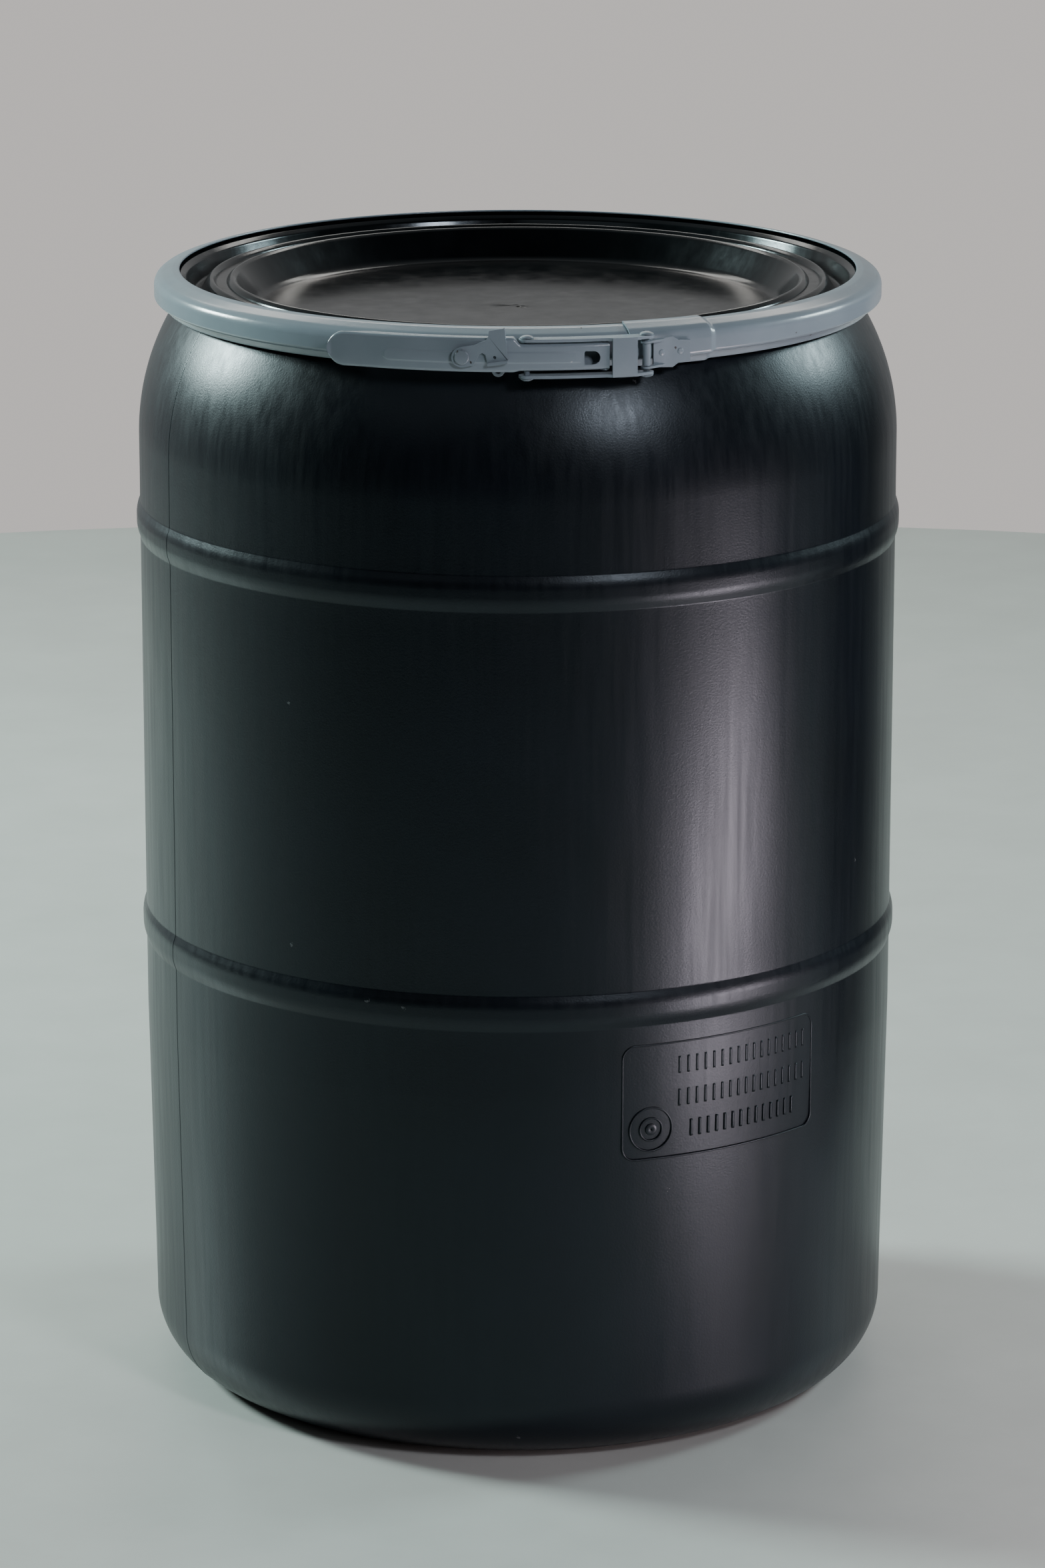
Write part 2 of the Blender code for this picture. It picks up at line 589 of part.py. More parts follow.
def make_lever(material):
    """The over-centre lever: a curved channel with a thumb tab, a stiffener, a slot and rounded ends."""
    deep = BAND_RADIUS + FLANGE_STANDOFF
    shallow = FACE_INNER - 0.0004
    tab = LEVER_HEIGHT / 2
    rings = []
    for turn in (12, 35, 60, 90):
        along = LEVER_TIP + tab * (1 - math.cos(math.radians(turn)))
        height = LEVER_HEIGHT * math.sin(math.radians(turn))
        flare = TAB_FLARE * (1 - 0.45 * math.sin(math.radians(turn)) ** 2)
        rings.append(lever_section(along, height, LEVER_MID_Z, shallow, 0.0, flare))
    along = LEVER_TIP + tab
    grip = [(along + 0.006, shallow, 0.0, 0.4 * TAB_FLARE), (along + 0.014, deep, 0.0, 0.1 * TAB_FLARE),
            (along + 0.020, deep, 0.0, 0.0), (along + 0.025, deep, STIFFENER_HEIGHT, 0.0)]
    count = 4
    first, last = along + 0.025, LEVER_STEP - 0.0012
    grip += [(first + (last - first) * i / count, deep, STIFFENER_HEIGHT, 0.0) for i in range(1, count + 1)]
    for place_on_band, flange, stiffener, flare in grip:
        rings.append(lever_section(place_on_band, LEVER_HEIGHT, LEVER_MID_Z, flange, stiffener, flare))
    nose_end = FULCRUM * BAND_RADIUS / FACE_OUTER + NOSE_LENGTH * BAND_RADIUS / FACE_OUTER
    nose_end += FULCRUM * (1 - BAND_RADIUS / FACE_OUTER)
    count = 3
    rib_end = SLOT_START - 0.004
    nose = [(LEVER_STEP + (rib_end - LEVER_STEP) * i / count, STIFFENER_HEIGHT) for i in range(count + 1)]
    nose += [(SLOT_START - 0.001, 0.0), (SLOT_START + SLOT_LENGTH / 2, 0.0), (nose_end, 0.0)]
    for place_on_band, stiffener in nose:
        rings.append(lever_section(place_on_band, LEVER_NOSE_HEIGHT, LEVER_NOSE_MID_Z, deep, stiffener, 0.0))
    lever = loft("lever", rings, material)
    top, bottom = NOSE_TOP, NOSE_BOTTOM
    inset = 0.0001
    for side, base in (("upper", top - LEVER_SHEET + inset), ("lower", bottom + inset)):
        disc = rod("nose_disc_" + side, NOSE_ROUND, base, base + LEVER_SHEET - 2 * inset,
                   place(FULCRUM_RADIUS, FULCRUM))
        combine(lever, disc, "UNION")
    pin_hole = rod("fulcrum_hole", PIN_RADIUS + PIN_CLEARANCE, bottom - CUT_PAST, top + CUT_PAST,
                   place(FULCRUM_RADIUS, FULCRUM))
    combine(lever, pin_hole, "DIFFERENCE")
    rivet_hole = rod("link_rivet_hole", RIVET_RADIUS + PIN_CLEARANCE, bottom - CUT_PAST, top + CUT_PAST,
                     place(LINK_RADIUS, LINK_PIVOT))
    combine(lever, rivet_hole, "DIFFERENCE")
    slot = slot_outline()
    window = face_prism("slot_window", SLOT_START + SLOT_LENGTH / 2, slot, FACE_INNER - CUT_PAST,
                        FACE_OUTER + CUT_PAST)
    combine(lever, window, "DIFFERENCE")
    latch_at = latch_place()
    hole = round_end(latch_at, RIVET_RADIUS + PIN_CLEARANCE, 0, 337.5, 15)
    latch_hole = face_prism("latch_rivet_hole", LATCH_FACE_ARC, hole, FACE_INNER - CUT_PAST,
                            FACE_OUTER + CUT_PAST)
    combine(lever, latch_hole, "DIFFERENCE")
    return lever


def slot_outline():
    """The lever's slot: flat at its left end and round at its right."""
    half_length, half_height = SLOT_LENGTH / 2, SLOT_HEIGHT / 2
    right = round_end((half_length - half_height, SLOT_MID_Z), half_height, -90, 90, 8)
    return [(-half_length, SLOT_MID_Z - half_height)] + right + [(-half_length, SLOT_MID_Z + half_height)]


def make_fulcrum_pin(material):
    """The pin through the lever's flanges and the left bracket's ears, with a thin head at each end."""
    top, bottom = NOSE_TOP, NOSE_BOTTOM
    head, depth = PIN_RADIUS + 0.0009, 0.0005
    over, under = top + PIECE_GAP, bottom - PIECE_GAP
    profile = [(0.0, over + depth), (head, over + depth), (head, over), (PIN_RADIUS, over)]
    profile += [(PIN_RADIUS, under), (head, under), (head, under - depth), (0.0, under - depth)]
    return turned("fulcrum_pin", profile, material, place(FULCRUM_RADIUS, FULCRUM), PIN_STEPS)


# ---------------------------------------------------------------- link

def make_link(material):
    """The link: two arms and the bridge plate that joins them in front."""
    q, r = place(LINK_RADIUS, LINK_PIVOT), place(LINK_RADIUS, LINK_END)
    turn_q, turn_r = math.degrees(angle_at(LINK_PIVOT)), math.degrees(angle_at(LINK_END))
    inner, plain = BAND_RADIUS + ARM_INNER, LINK_RADIUS + ARM_ROUND
    sunk = BRIDGE_OUTER - 0.0003
    start, end = BRIDGE_START, BRIDGE_START + BRIDGE_LENGTH
    middle = (start + end) / 2
    outline = round_end(q, ARM_ROUND, turn_q + 90 + 25, turn_q + 270, 7)
    outline += [place(plain, LINK_PIVOT + 0.015), place(plain, LINK_PIVOT + 0.030)]
    outline += [place(plain, start - 0.003)]
    outline += [place(sunk, start + 0.0005), place(sunk, middle), place(sunk, end - 0.0005)]
    outline += round_end(r, ARM_ROUND - 0.0006, turn_r - 90, turn_r + 90 - 25, 7)
    outline += [place(inner, LINK_END - 0.006), place(inner, LINK_END - 0.024)]
    outline += [place(inner, LINK_PIVOT + 0.024)]
    outline += [place(inner, LINK_PIVOT + 0.008)]
    link = plan_prism("link", outline, LINK_TOP - LINK_SHEET, LINK_TOP, material)
    lower = plan_prism("link_lower_arm", outline, LINK_BOTTOM, LINK_BOTTOM + LINK_SHEET)
    face = [place(BRIDGE_OUTER, start), place(BRIDGE_OUTER, middle), place(BRIDGE_OUTER, end)]
    back = BRIDGE_OUTER - LINK_SHEET
    face += [place(back, end), place(back, middle), place(back, start)]
    bridge = plan_prism("link_bridge", face, LINK_BOTTOM + 0.0001, LINK_TOP - 0.0001)
    combine(link, bridge, "UNION")
    combine(link, lower, "UNION")
    for name, centre in (("link_hole_pivot", q), ("link_hole_end", r)):
        hole = rod(name, RIVET_RADIUS + PIN_CLEARANCE, LINK_BOTTOM - CUT_PAST, LINK_TOP + CUT_PAST, centre)
        combine(link, hole, "DIFFERENCE")
    return link


def rivet_profile(head_base, tail, way, tail_head=0.0):
    """A rivet's profile from the crown of its head to the end of its shank.

    way is +1 for a head on top and -1 for one below.  tail_head is the height of the upset tail, or none.
    """
    crown = head_base + way * HEAD_HEIGHT
    profile = [(0.0, crown), (0.45 * RIVET_HEAD, crown - way * 0.00025)]
    profile += [(0.80 * RIVET_HEAD, crown - way * 0.0008)]
    profile += [(RIVET_HEAD, head_base + way * 0.0003), (RIVET_HEAD, head_base), (RIVET_RADIUS, head_base)]
    if tail_head:
        wide = RIVET_RADIUS + RIVET_UPSET
        profile += [(RIVET_RADIUS, tail), (wide, tail)]
        profile += [(wide, tail - way * tail_head), (0.0, tail - way * tail_head)]
    else:
        profile += [(RIVET_RADIUS, tail), (0.0, tail)]
    return profile


def make_link_rivets(material):
    """Rivets that join the link's arms to the lever, and the ones at its other end."""
    top, bottom = NOSE_TOP, NOSE_BOTTOM
    over, under = LINK_TOP + PIECE_GAP, LINK_BOTTOM - PIECE_GAP
    inside_top, inside_bottom = top - LEVER_SHEET - PIECE_GAP, bottom + LEVER_SHEET + PIECE_GAP
    q, r = place(LINK_RADIUS, LINK_PIVOT), place(LINK_RADIUS, LINK_END)
    at_lever = [
        turned("link_rivet_upper", rivet_profile(over, inside_top, 1, 0.0012), material, q, PIN_STEPS),
        turned("link_rivet_lower", rivet_profile(under, inside_bottom, -1, 0.0012), material, q, PIN_STEPS),
    ]
    at_end = [
        turned("end_rivet_upper", rivet_profile(over, LINK_TOP - LINK_SHEET, 1), material, r, PIN_STEPS),
        turned("end_rivet_lower", rivet_profile(under, LINK_BOTTOM + LINK_SHEET, -1), material, r, PIN_STEPS),
    ]
    return at_lever, at_end


# ---------------------------------------------------------------- safety latch

def latch_place():
    """The latch's pivot in its plate's own plane: distance along, and height."""
    turn = angle_at(LATCH_PIVOT) - angle_at(LATCH_FACE_ARC)
    return (FACE_OUTER + 0.0012) * math.sin(turn), LATCH_PIVOT_Z


def make_safety_latch(material):
    """A flat plate that turns on the lever: round end, arm, notch, flag, finger lip and folded edge."""
    along, up = latch_place()
    outline = round_end((0.0, 0.0), LATCH_ROUND, 95, 285, 12)
    outline += [(0.0070, -0.0050), (0.0092, -0.0013), (0.0106, 0.0017), (0.0126, 0.0028)]
    outline += [(0.0144, 0.0017), (0.0153, -0.0016), (0.0155, -0.0040), (0.0283, -0.0020)]
    outline += [(0.0262, 0.0182), (0.0166, 0.0165), (0.0162, 0.0130), (0.0148, 0.0107), (0.0073, 0.0077)]
    outline = [(along + x, up + z) for x, z in outline]
    inner = BAND_RADIUS + LATCH_STANDOFF
    outer = inner + LATCH_SHEET
    latch = face_prism("safety_latch", LATCH_FACE_ARC, outline, inner, outer, material)
    lip = [(0.0158, -0.0052), (0.0281, -0.0033), (0.0281, -0.0012), (0.0158, -0.0031)]
    lip = [(along + x, up + z) for x, z in lip]
    finger = face_prism("latch_lip", LATCH_FACE_ARC, lip, inner + 0.0002, outer + LIP_OUT)
    combine(latch, finger, "UNION")
    fold = [(0.0252, 0.0128), (0.0265, 0.0128), (0.0260, 0.0178), (0.0250, 0.0176)]
    fold = [(along + x, up + z) for x, z in fold]
    returned = face_prism("latch_fold", LATCH_FACE_ARC, fold, inner - RETURN_BACK, outer - 0.0002)
    combine(latch, returned, "UNION")
    for name, centre, radius in (("latch_pivot_hole", (along, up), RIVET_RADIUS + PIN_CLEARANCE),
                                 ("latch_seal_hole", (along + 0.0201, up + 0.0002), LATCH_HOLE)):
        ring = round_end(centre, radius, 0, 337.5, 15)
        combine(latch, face_prism(name, LATCH_FACE_ARC, ring, inner - 0.01, outer + 0.01), "DIFFERENCE")
    return latch


def make_latch_rivet(material):
    """The rivet that the latch turns on, upset inside the lever's channel."""
    along, up = latch_place()
    outer = BAND_RADIUS + LATCH_STANDOFF + LATCH_SHEET + PIECE_GAP
    reach = FACE_INNER - 0.0008
    head = 0.0046
    profile = [(0.0, outer + 0.0010), (head - 0.0005, outer + 0.0010), (head, outer + 0.0005), (head, outer)]
    profile += [(RIVET_RADIUS, outer), (RIVET_RADIUS, reach), (RIVET_RADIUS + RIVET_UPSET, reach)]
    profile += [(RIVET_RADIUS + RIVET_UPSET, reach - 0.0010), (0.0, reach - 0.0010)]
    rivet = turned("latch_rivet", profile, material, steps=PIN_STEPS)
    lie_down = Matrix.Rotation(math.radians(90), 4, "X")
    stand = Matrix.Rotation(angle_at(LATCH_FACE_ARC), 4, "Z") @ Matrix.Translation((along, 0.0, up))
    rivet.data.transform(stand @ lie_down)
    return rivet


# ---------------------------------------------------------------- assembly

def pivot(name, x, y, z, parent=None):
    """An empty on a joint's axis, for the pieces that move about it."""
    empty = bpy.data.objects.new(name, None)
    bpy.context.scene.collection.objects.link(empty)
    empty.location = (x, y, z)
    if parent is not None:
        hang(parent, empty)
    return empty


def hang(empty, *pieces):
    """Parent pieces to an empty and leave them where they are."""
    start = Matrix.Translation(empty.location)
    for piece in pieces:
        piece.parent = empty
        piece.matrix_parent_inverse = start.inverted()


def main():
    clear_scene()
    body_plastic = finish("body_plastic", (0.012, 0.014, 0.016), 0.42, 0.0)
    lid_plastic = finish("lid_plastic", (0.010, 0.011, 0.011), 0.22, 0.0)
    rubber = finish("gasket_rubber", (0.02, 0.02, 0.02), 0.8, 0.0)
    enamel = finish("band_enamel", (0.16, 0.20, 0.23), 0.35, 0.0)
    plated = finish("rivet_steel", (0.30, 0.34, 0.36), 0.4, 0.6)

    make_drum_body(body_plastic)
    lid = make_lid(lid_plastic)
    gasket = make_gasket(rubber)
    back, left, right = make_band(enamel)
    left_pieces = [left, make_left_bracket(enamel), make_seal_eye(enamel)]
    right_pieces = [right, make_right_bracket(enamel), make_hinge_barrel(enamel), make_hinge_pin(plated)]
    lever_pieces = [make_lever(enamel), make_fulcrum_pin(plated), make_latch_rivet(plated)]
    rivets_on_lever, rivets_on_link = make_link_rivets(plated)
    latch = make_safety_latch(enamel)
    link = make_link(enamel)

    lid_lift = pivot("lid_lift", 0.0, 0.0, BODY_HEIGHT)
    hang(lid_lift, lid, gasket)
    band_lift = pivot("band_lift", 0.0, 0.0, LID_TOP)
    hang(band_lift, back)
    left_x, left_y = polar(BAND_RADIUS + PIECE_GAP * 2, -FLEX_ANGLE)
    hang(pivot("left_flex", left_x, left_y, LID_TOP), *left_pieces)
    right_x, right_y = polar(BAND_RADIUS + PIECE_GAP * 2, FLEX_ANGLE)
    hang(pivot("right_flex", right_x, right_y, LID_TOP), *right_pieces)
    lever_x, lever_y = place(FULCRUM_RADIUS, FULCRUM)
    hang(pivot("lever_axis", lever_x, lever_y, LEVER_MID_Z), *lever_pieces, *rivets_on_lever)
    link_x, link_y = place(LINK_RADIUS, LINK_PIVOT)
    hang(pivot("link_axis", link_x, link_y, LEVER_MID_Z), link, *rivets_on_link)
    along, up = latch_place()
    turn = Matrix.Rotation(angle_at(LATCH_FACE_ARC), 3, "Z")
    latch_at = turn @ Vector((along, -(BAND_RADIUS + LATCH_STANDOFF), up))
    hang(pivot("latch_axis", *latch_at), latch)


main()
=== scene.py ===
"""The shown pieces of an open-head plastic drum, made over its packed frame.

A blow-moulded body, a ribbed lid with its gasket, and a painted steel band that a lever, a link and
a small safety latch draw shut.  Metres, +Z up, origin at the middle of the floor face, front at -Y.
Angles round the drum are measured from the front towards +X.  Places round the band are arc lengths
along its outer face.
"""

import math

import bmesh
import bpy
import numpy as np
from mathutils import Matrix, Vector


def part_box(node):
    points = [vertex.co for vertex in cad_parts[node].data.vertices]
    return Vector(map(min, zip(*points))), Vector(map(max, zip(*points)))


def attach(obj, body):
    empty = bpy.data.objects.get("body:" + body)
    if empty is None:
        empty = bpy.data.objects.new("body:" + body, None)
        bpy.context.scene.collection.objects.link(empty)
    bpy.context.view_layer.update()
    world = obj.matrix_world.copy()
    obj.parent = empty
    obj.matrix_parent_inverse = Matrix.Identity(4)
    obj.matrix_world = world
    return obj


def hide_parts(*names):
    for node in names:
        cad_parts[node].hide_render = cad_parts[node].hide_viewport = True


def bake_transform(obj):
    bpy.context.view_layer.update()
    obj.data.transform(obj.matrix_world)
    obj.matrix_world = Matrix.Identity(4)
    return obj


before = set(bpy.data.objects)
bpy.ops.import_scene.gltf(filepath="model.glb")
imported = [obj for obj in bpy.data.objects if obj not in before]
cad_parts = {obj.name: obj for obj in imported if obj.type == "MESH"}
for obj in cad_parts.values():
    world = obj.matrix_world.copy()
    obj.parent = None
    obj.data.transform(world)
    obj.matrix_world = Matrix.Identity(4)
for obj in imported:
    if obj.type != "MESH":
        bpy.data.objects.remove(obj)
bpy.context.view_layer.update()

bl_info = {
    "name": "Clamped-lid drum",
    "version": (1, 0, 0),
    "blender": (4, 5, 0),
    "location": "View3D > Sidebar > Drum",
    "description": "Makes a plastic drum with a ribbed lid and a lever-lock band over its frame",
    "category": "Object",
}

FOOT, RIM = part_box("drum_body")[0].z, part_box("drum_body")[1].z
HOOP_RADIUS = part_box("drum_body")[1].x
LID_LOW, LID_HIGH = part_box("lid")
GASKET_LOW, GASKET_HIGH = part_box("gasket")
SKIRT_FOOT = RIM - 0.0035           # free edge of the lid's skirt
RIM_UNDER = RIM - 0.0055            # underside of the rim's flange
RIM_REACH = 0.2280                  # radius of the rim's flange
NECK_RISE = 0.0034                  # upright part of the neck under the flange
NECK_INSET = 0.0268                 # how far the neck lies inside the wall
WALL_DRAFT = 0.0033                 # how much narrower the wall is at the foot
LINING_TOP = RIM - 0.012            # where the outside and the lining meet in the neck
SEAL_INNER = 0.2158                 # inner radius of the gasket
BAND_RADIUS = 0.2340                # radius of the band's outer face, which the closure sits on
NOSE_ROUND = 0.0042                 # radius of the lever's nose, seen from above
NOSE_STEP = (-0.0030, 0.0022)       # stretch where the lever narrows from its grip to its nose
RIB_START = -0.0806                 # left end of the lever's pressed rib
RIB_MIDDLE = 0.7188                 # height of the middle of the pressed rib


# ------------------------------------------------------------------ settings

def length(name, description, default):
    """A size in metres that is shown in the sidebar."""
    return bpy.props.FloatProperty(name=name, description=description, default=default, unit="LENGTH",
                                   subtype="DISTANCE", precision=5)


def turn_of(name, description, degrees):
    """An angle round the drum."""
    return bpy.props.FloatProperty(name=name, description=description, default=math.radians(degrees),
                                   unit="ROTATION", subtype="ANGLE")


def share(name, description, default):
    """A number from nought to one."""
    return bpy.props.FloatProperty(name=name, description=description, default=default, min=0.0, max=1.0,
                                   subtype="FACTOR")


def colour(name, description, default):
    """A colour."""
    return bpy.props.FloatVectorProperty(name=name, description=description, default=default, size=3,
                                         min=0.0, max=1.0, subtype="COLOR")


class DrumBodySettings(bpy.types.PropertyGroup):
    """Sizes and colour of the moulded body."""

    wall: length("Wall", "Thickness of the wall", 0.0030)
    hoop_proud: length("Hoop height", "How far the rolling hoops stand out of the wall", 0.0022)
    hoop_width: length("Hoop width", "Height of each rolling hoop", 0.0230)
    lower_hoop: length("Lower hoop", "Middle of the lower hoop above the floor", 0.3042)
    upper_hoop: length("Upper hoop", "Middle of the upper hoop above the floor", 0.5722)
    shoulder: length("Shoulder", "Radius of the rounded shoulder", 0.1535)
    foot: length("Foot", "Radius of the corner at the foot", 0.0450)
    unevenness: length("Unevenness", "How far the moulded wall strays inwards from true", 0.00014)
    seam_turn: turn_of("Mould seam", "Where the mould's parting line runs, with its twin opposite", -64.0)
    colour: colour("Colour", "Colour of the body plastic", (0.0022, 0.0036, 0.0060))
    gloss: share("Roughness", "Roughness of the body plastic", 0.33)


class MarkSettings(bpy.types.PropertyGroup):
    """The raised panel of plain marks on the body."""

    left: turn_of("Left edge", "Left edge of the panel", 15.5)
    right: turn_of("Right edge", "Right edge of the panel", 49.7)
    low: length("Lower edge", "Lower edge of the panel above the floor", 0.2050)
    high: length("Upper edge", "Upper edge of the panel above the floor", 0.2800)
    corner: length("Corner", "Radius of the panel's corners", 0.0085)
    line: length("Line width", "Width of the raised lines", 0.0013)
    relief: length("Relief", "Height of the marks above the wall", 0.00055)


class LidSettings(bpy.types.PropertyGroup):
    """Sizes and colours of the lid and its gasket."""

    flange: length("Flange", "Thickness of the lid over the gasket", 0.0044)
    sheet: length("Sheet", "Thickness of the lid inside the groove", 0.0030)
    groove: length("Groove", "Radius of the middle of the groove beside the flange", 0.2075)
    outer_rib: length("Outer rib", "Radius of the outer rib's crest", 0.1970)
    inner_rib: length("Inner rib", "Radius of the inner rib's crest", 0.1840)
    panel: length("Panel", "Radius of the flat centre panel", 0.1680)
    colour: colour("Colour", "Colour of the lid plastic", (0.0030, 0.0040, 0.0046))
    gloss: share("Roughness", "Roughness of the lid plastic", 0.16)
    rubber: colour("Gasket colour", "Colour of the gasket rubber", (0.016, 0.016, 0.017))


class BandSettings(bpy.types.PropertyGroup):
    """Sizes and paint of the clamping band and of everything painted with it."""

    radius: length("Radius", "Radius of the band's outer face", BAND_RADIUS)
    sheet: length("Sheet", "Thickness of the band's sheet", 0.0012)
    socket_start: length("Socket start", "Where the widened end of the band starts", 0.0694)
    socket_end: length("Socket end", "Where the widened part ends", 0.1230)
    tongue_end: length("Tongue end", "Where the end that slides into the widened part stops", 0.1021)
    colour: colour("Paint", "Colour of the enamel", (0.215, 0.265, 0.300))
    bare: colour("Chips", "Colour of the primer and steel in chips", (0.035, 0.033, 0.032))
    gloss: share("Roughness", "Roughness of the enamel", 0.20)


class LeverSettings(bpy.types.PropertyGroup):
    """Sizes of the over-centre lever."""

    tip: length("Tip", "Left end of the thumb tab", -0.1152)
    nose: length("Nose", "Right end of the lever", 0.0541)
    sheet: length("Sheet", "Thickness of the lever's sheet", 0.0014)
    face: length("Face", "Radius of the lever's outer face", 0.2438)
    flange: length("Flange", "Radius at the free edges of the flanges", 0.2361)
    grip_low: length("Grip low", "Lower edge of the grip part", 0.70955)
    grip_high: length("Grip high", "Upper edge of the grip part", 0.73085)
    nose_low: length("Nose low", "Lower edge of the nose", 0.7105)
    nose_high: length("Nose high", "Upper edge of the nose", 0.7269)
    bend: length("Bend", "Outer radius of the lever's folded edges", 0.0021)
    rib: length("Rib height", "Height of the pressed rib", 0.00045)
    rib_half: length("Rib half width", "Half the width of the pressed rib", 0.0032)
    slot_start: length("Slot start", "Left end of the slot", 0.0389)
    slot_length: length("Slot length", "Length of the slot", 0.0098)
    slot_height: length("Slot height", "Height of the slot", 0.0084)
    slot_middle: length("Slot middle", "Middle of the slot above the floor", 0.7180)
    flare: length("Flare", "How far the thumb tab bends outwards", 0.0016)


class StageSettings(bpy.types.PropertyGroup):
    """Floor, background and lights."""

    floor: colour("Floor", "Colour of the floor", (0.52, 0.54, 0.51))
    wall: colour("Background", "Colour seen behind the drum", (0.62, 0.59, 0.57))
    brightness: bpy.props.FloatProperty(name="Brightness", description="Multiplies every light",
                                        default=1.0, min=0.0, soft_max=4.0)


# ------------------------------------------------------------------ surfaces

def rounded(path, radii, steps=6):
    """A path of straight pieces with arcs for corners, as an array of points.

    Each inner corner becomes an arc that touches both of its sides.  The arc starts r tan(t / 2)
    before the corner, where t is the angle the path turns through, and r is cut down where a side
    is too short.  A radius of nought keeps the corner.
    """
    points = np.asarray(path, float)
    made = [points[:1]]
    for i in range(1, len(points) - 1):
        before, corner, after = points[i - 1:i + 2]
        back, on = before - corner, after - corner
        back_length, on_length = np.hypot(*back), np.hypot(*on)
        back, on = back / back_length, on / on_length
        turn = math.pi - math.acos(max(-1.0, min(1.0, float(back @ on))))
        if radii[i] <= 0 or turn < 1e-3:
            made.append(corner[None])
            continue
        reach = min(radii[i] * math.tan(turn / 2), 0.49 * back_length, 0.49 * on_length)
        radius = reach / math.tan(turn / 2)
        inward = back + on
        centre = corner + inward / np.hypot(*inward) * math.hypot(reach, radius)
        first = corner + back * reach - centre
        last = corner + on * reach - centre
        t = np.linspace(0, 1, steps + 1)[:, None]
        spread = math.sin(turn)
        arc = (np.sin((1 - t) * turn) * first + np.sin(t * turn) * last) / spread
        made.append(centre + arc)
    made.append(points[-1:])
    return np.concatenate(made)


def thickened(path, sheet, steps=4):
    """A closed outline round an open path: the path, its copy one sheet to the left, and half-round ends.

    The copy is the path moved along its normals, which are the quarter-turned central differences.
    """
    along = np.gradient(path, axis=0)
    along /= np.linalg.norm(along, axis=1)[:, None]
    left = np.stack((-along[:, 1], along[:, 0]), axis=1)
    t = np.linspace(0, math.pi, steps + 2)[1:-1, None]
    far_end = path[-1] + left[-1] * sheet / 2 + sheet / 2 * (np.sin(t) * along[-1] - np.cos(t) * left[-1])
    near_end = path[0] + left[0] * sheet / 2 + sheet / 2 * (np.cos(t) * left[0] - np.sin(t) * along[0])
    return np.concatenate((path, far_end, path[::-1] + left[::-1] * sheet, near_end))


def placed(radius, angle, height):
    """Points at a radius and an angle from the front: x is r sin a, y is -r cos a, z is the height."""
    radius, angle, height = np.broadcast_arrays(radius, angle, height)
    return np.stack((radius * np.sin(angle), -radius * np.cos(angle), height), axis=-1)


def grid_faces(rows, columns, close_rows=False, close_columns=False):
    """The four corner numbers of every cell of a grid whose points are numbered row by row."""
    row = np.arange(rows if close_rows else rows - 1)[:, None]
    column = np.arange(columns if close_columns else columns - 1)[None, :]
    next_row, next_column = (row + 1) % rows, (column + 1) % columns
    cells = (row * columns + column, next_row * columns + column,
             next_row * columns + next_column, row * columns + next_column)
    return np.stack([cell.ravel() for cell in cells], axis=1)


def surface(name, sheets, body, material, sharp=40.0, merge=1e-6):
    """A piece from one or more grids of points, each with its own wrapping and end caps.

    Each sheet is (points, close_rows, close_columns, caps).  A cap is one face round the first row
    and one round the last.
    """
    points, quads, fans, start = [], [], [], 0
    for grid, close_rows, close_columns, caps in sheets:
        rows, columns = grid.shape[:2]
        points.append(grid.reshape(-1, 3))
        quads.append(grid_faces(rows, columns, close_rows, close_columns) + start)
        if caps:
            fans.append(list(range(start + columns - 1, start - 1, -1)))
            fans.append(list(range(start + (rows - 1) * columns, start + rows * columns)))
        start += rows * columns
    mesh = bpy.data.meshes.new(name)
    mesh.from_pydata(np.concatenate(points), [], np.concatenate(quads).tolist() + fans)
    thing = bpy.data.objects.new(name, mesh)
    bpy.context.scene.collection.objects.link(thing)
    settle(thing, body, material, sharp, merge)
    return thing


def settle(thing, body, material, sharp=40.0, merge=1e-6):
    """Merge doubles, turn the faces outwards, shade, paint and let the piece ride on its body."""
    mesh = thing.data
    bm = bmesh.new()
    bm.from_mesh(mesh)
    bmesh.ops.remove_doubles(bm, verts=bm.verts, dist=merge)
    bmesh.ops.dissolve_degenerate(bm, dist=merge / 2, edges=bm.edges)
    bmesh.ops.recalc_face_normals(bm, faces=bm.faces)
    bm.to_mesh(mesh)
    bm.free()
    mesh.materials.clear()
    mesh.materials.append(material)
    mesh.shade_smooth()
    mesh.set_sharp_from_angle(angle=math.radians(sharp))
    if body:
        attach(thing, body)


def refined(node, name, body, material, edge=0.0004, segments=3, cuts=0):
    """A piece with the shape of a CAD node, merged, with its sharp edges rounded off."""
    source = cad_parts[node]
    thing = bpy.data.objects.new(name, source.data.copy())
    bpy.context.scene.collection.objects.link(thing)
    bm = bmesh.new()
    bm.from_mesh(thing.data)
    bmesh.ops.remove_doubles(bm, verts=bm.verts, dist=2e-6)
    bmesh.ops.dissolve_limit(bm, angle_limit=math.radians(0.6), verts=bm.verts, edges=bm.edges)
    bm.to_mesh(thing.data)
    bm.free()
    settle(thing, body, material, 55.0, 2e-6)
    soften(thing, edge, segments)
    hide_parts(node)
    return thing


def soften(thing, edge, segments=3, angle=34.0):
    """Round off a piece's sharp edges."""
    bevel = thing.modifiers.new("rounded edges", "BEVEL")
    bevel.width = edge
    bevel.segments = segments
    bevel.limit_method = "ANGLE"
    bevel.angle_limit = math.radians(angle)
    bevel.harden_normals = True
    bevel.use_clamp_overlap = True


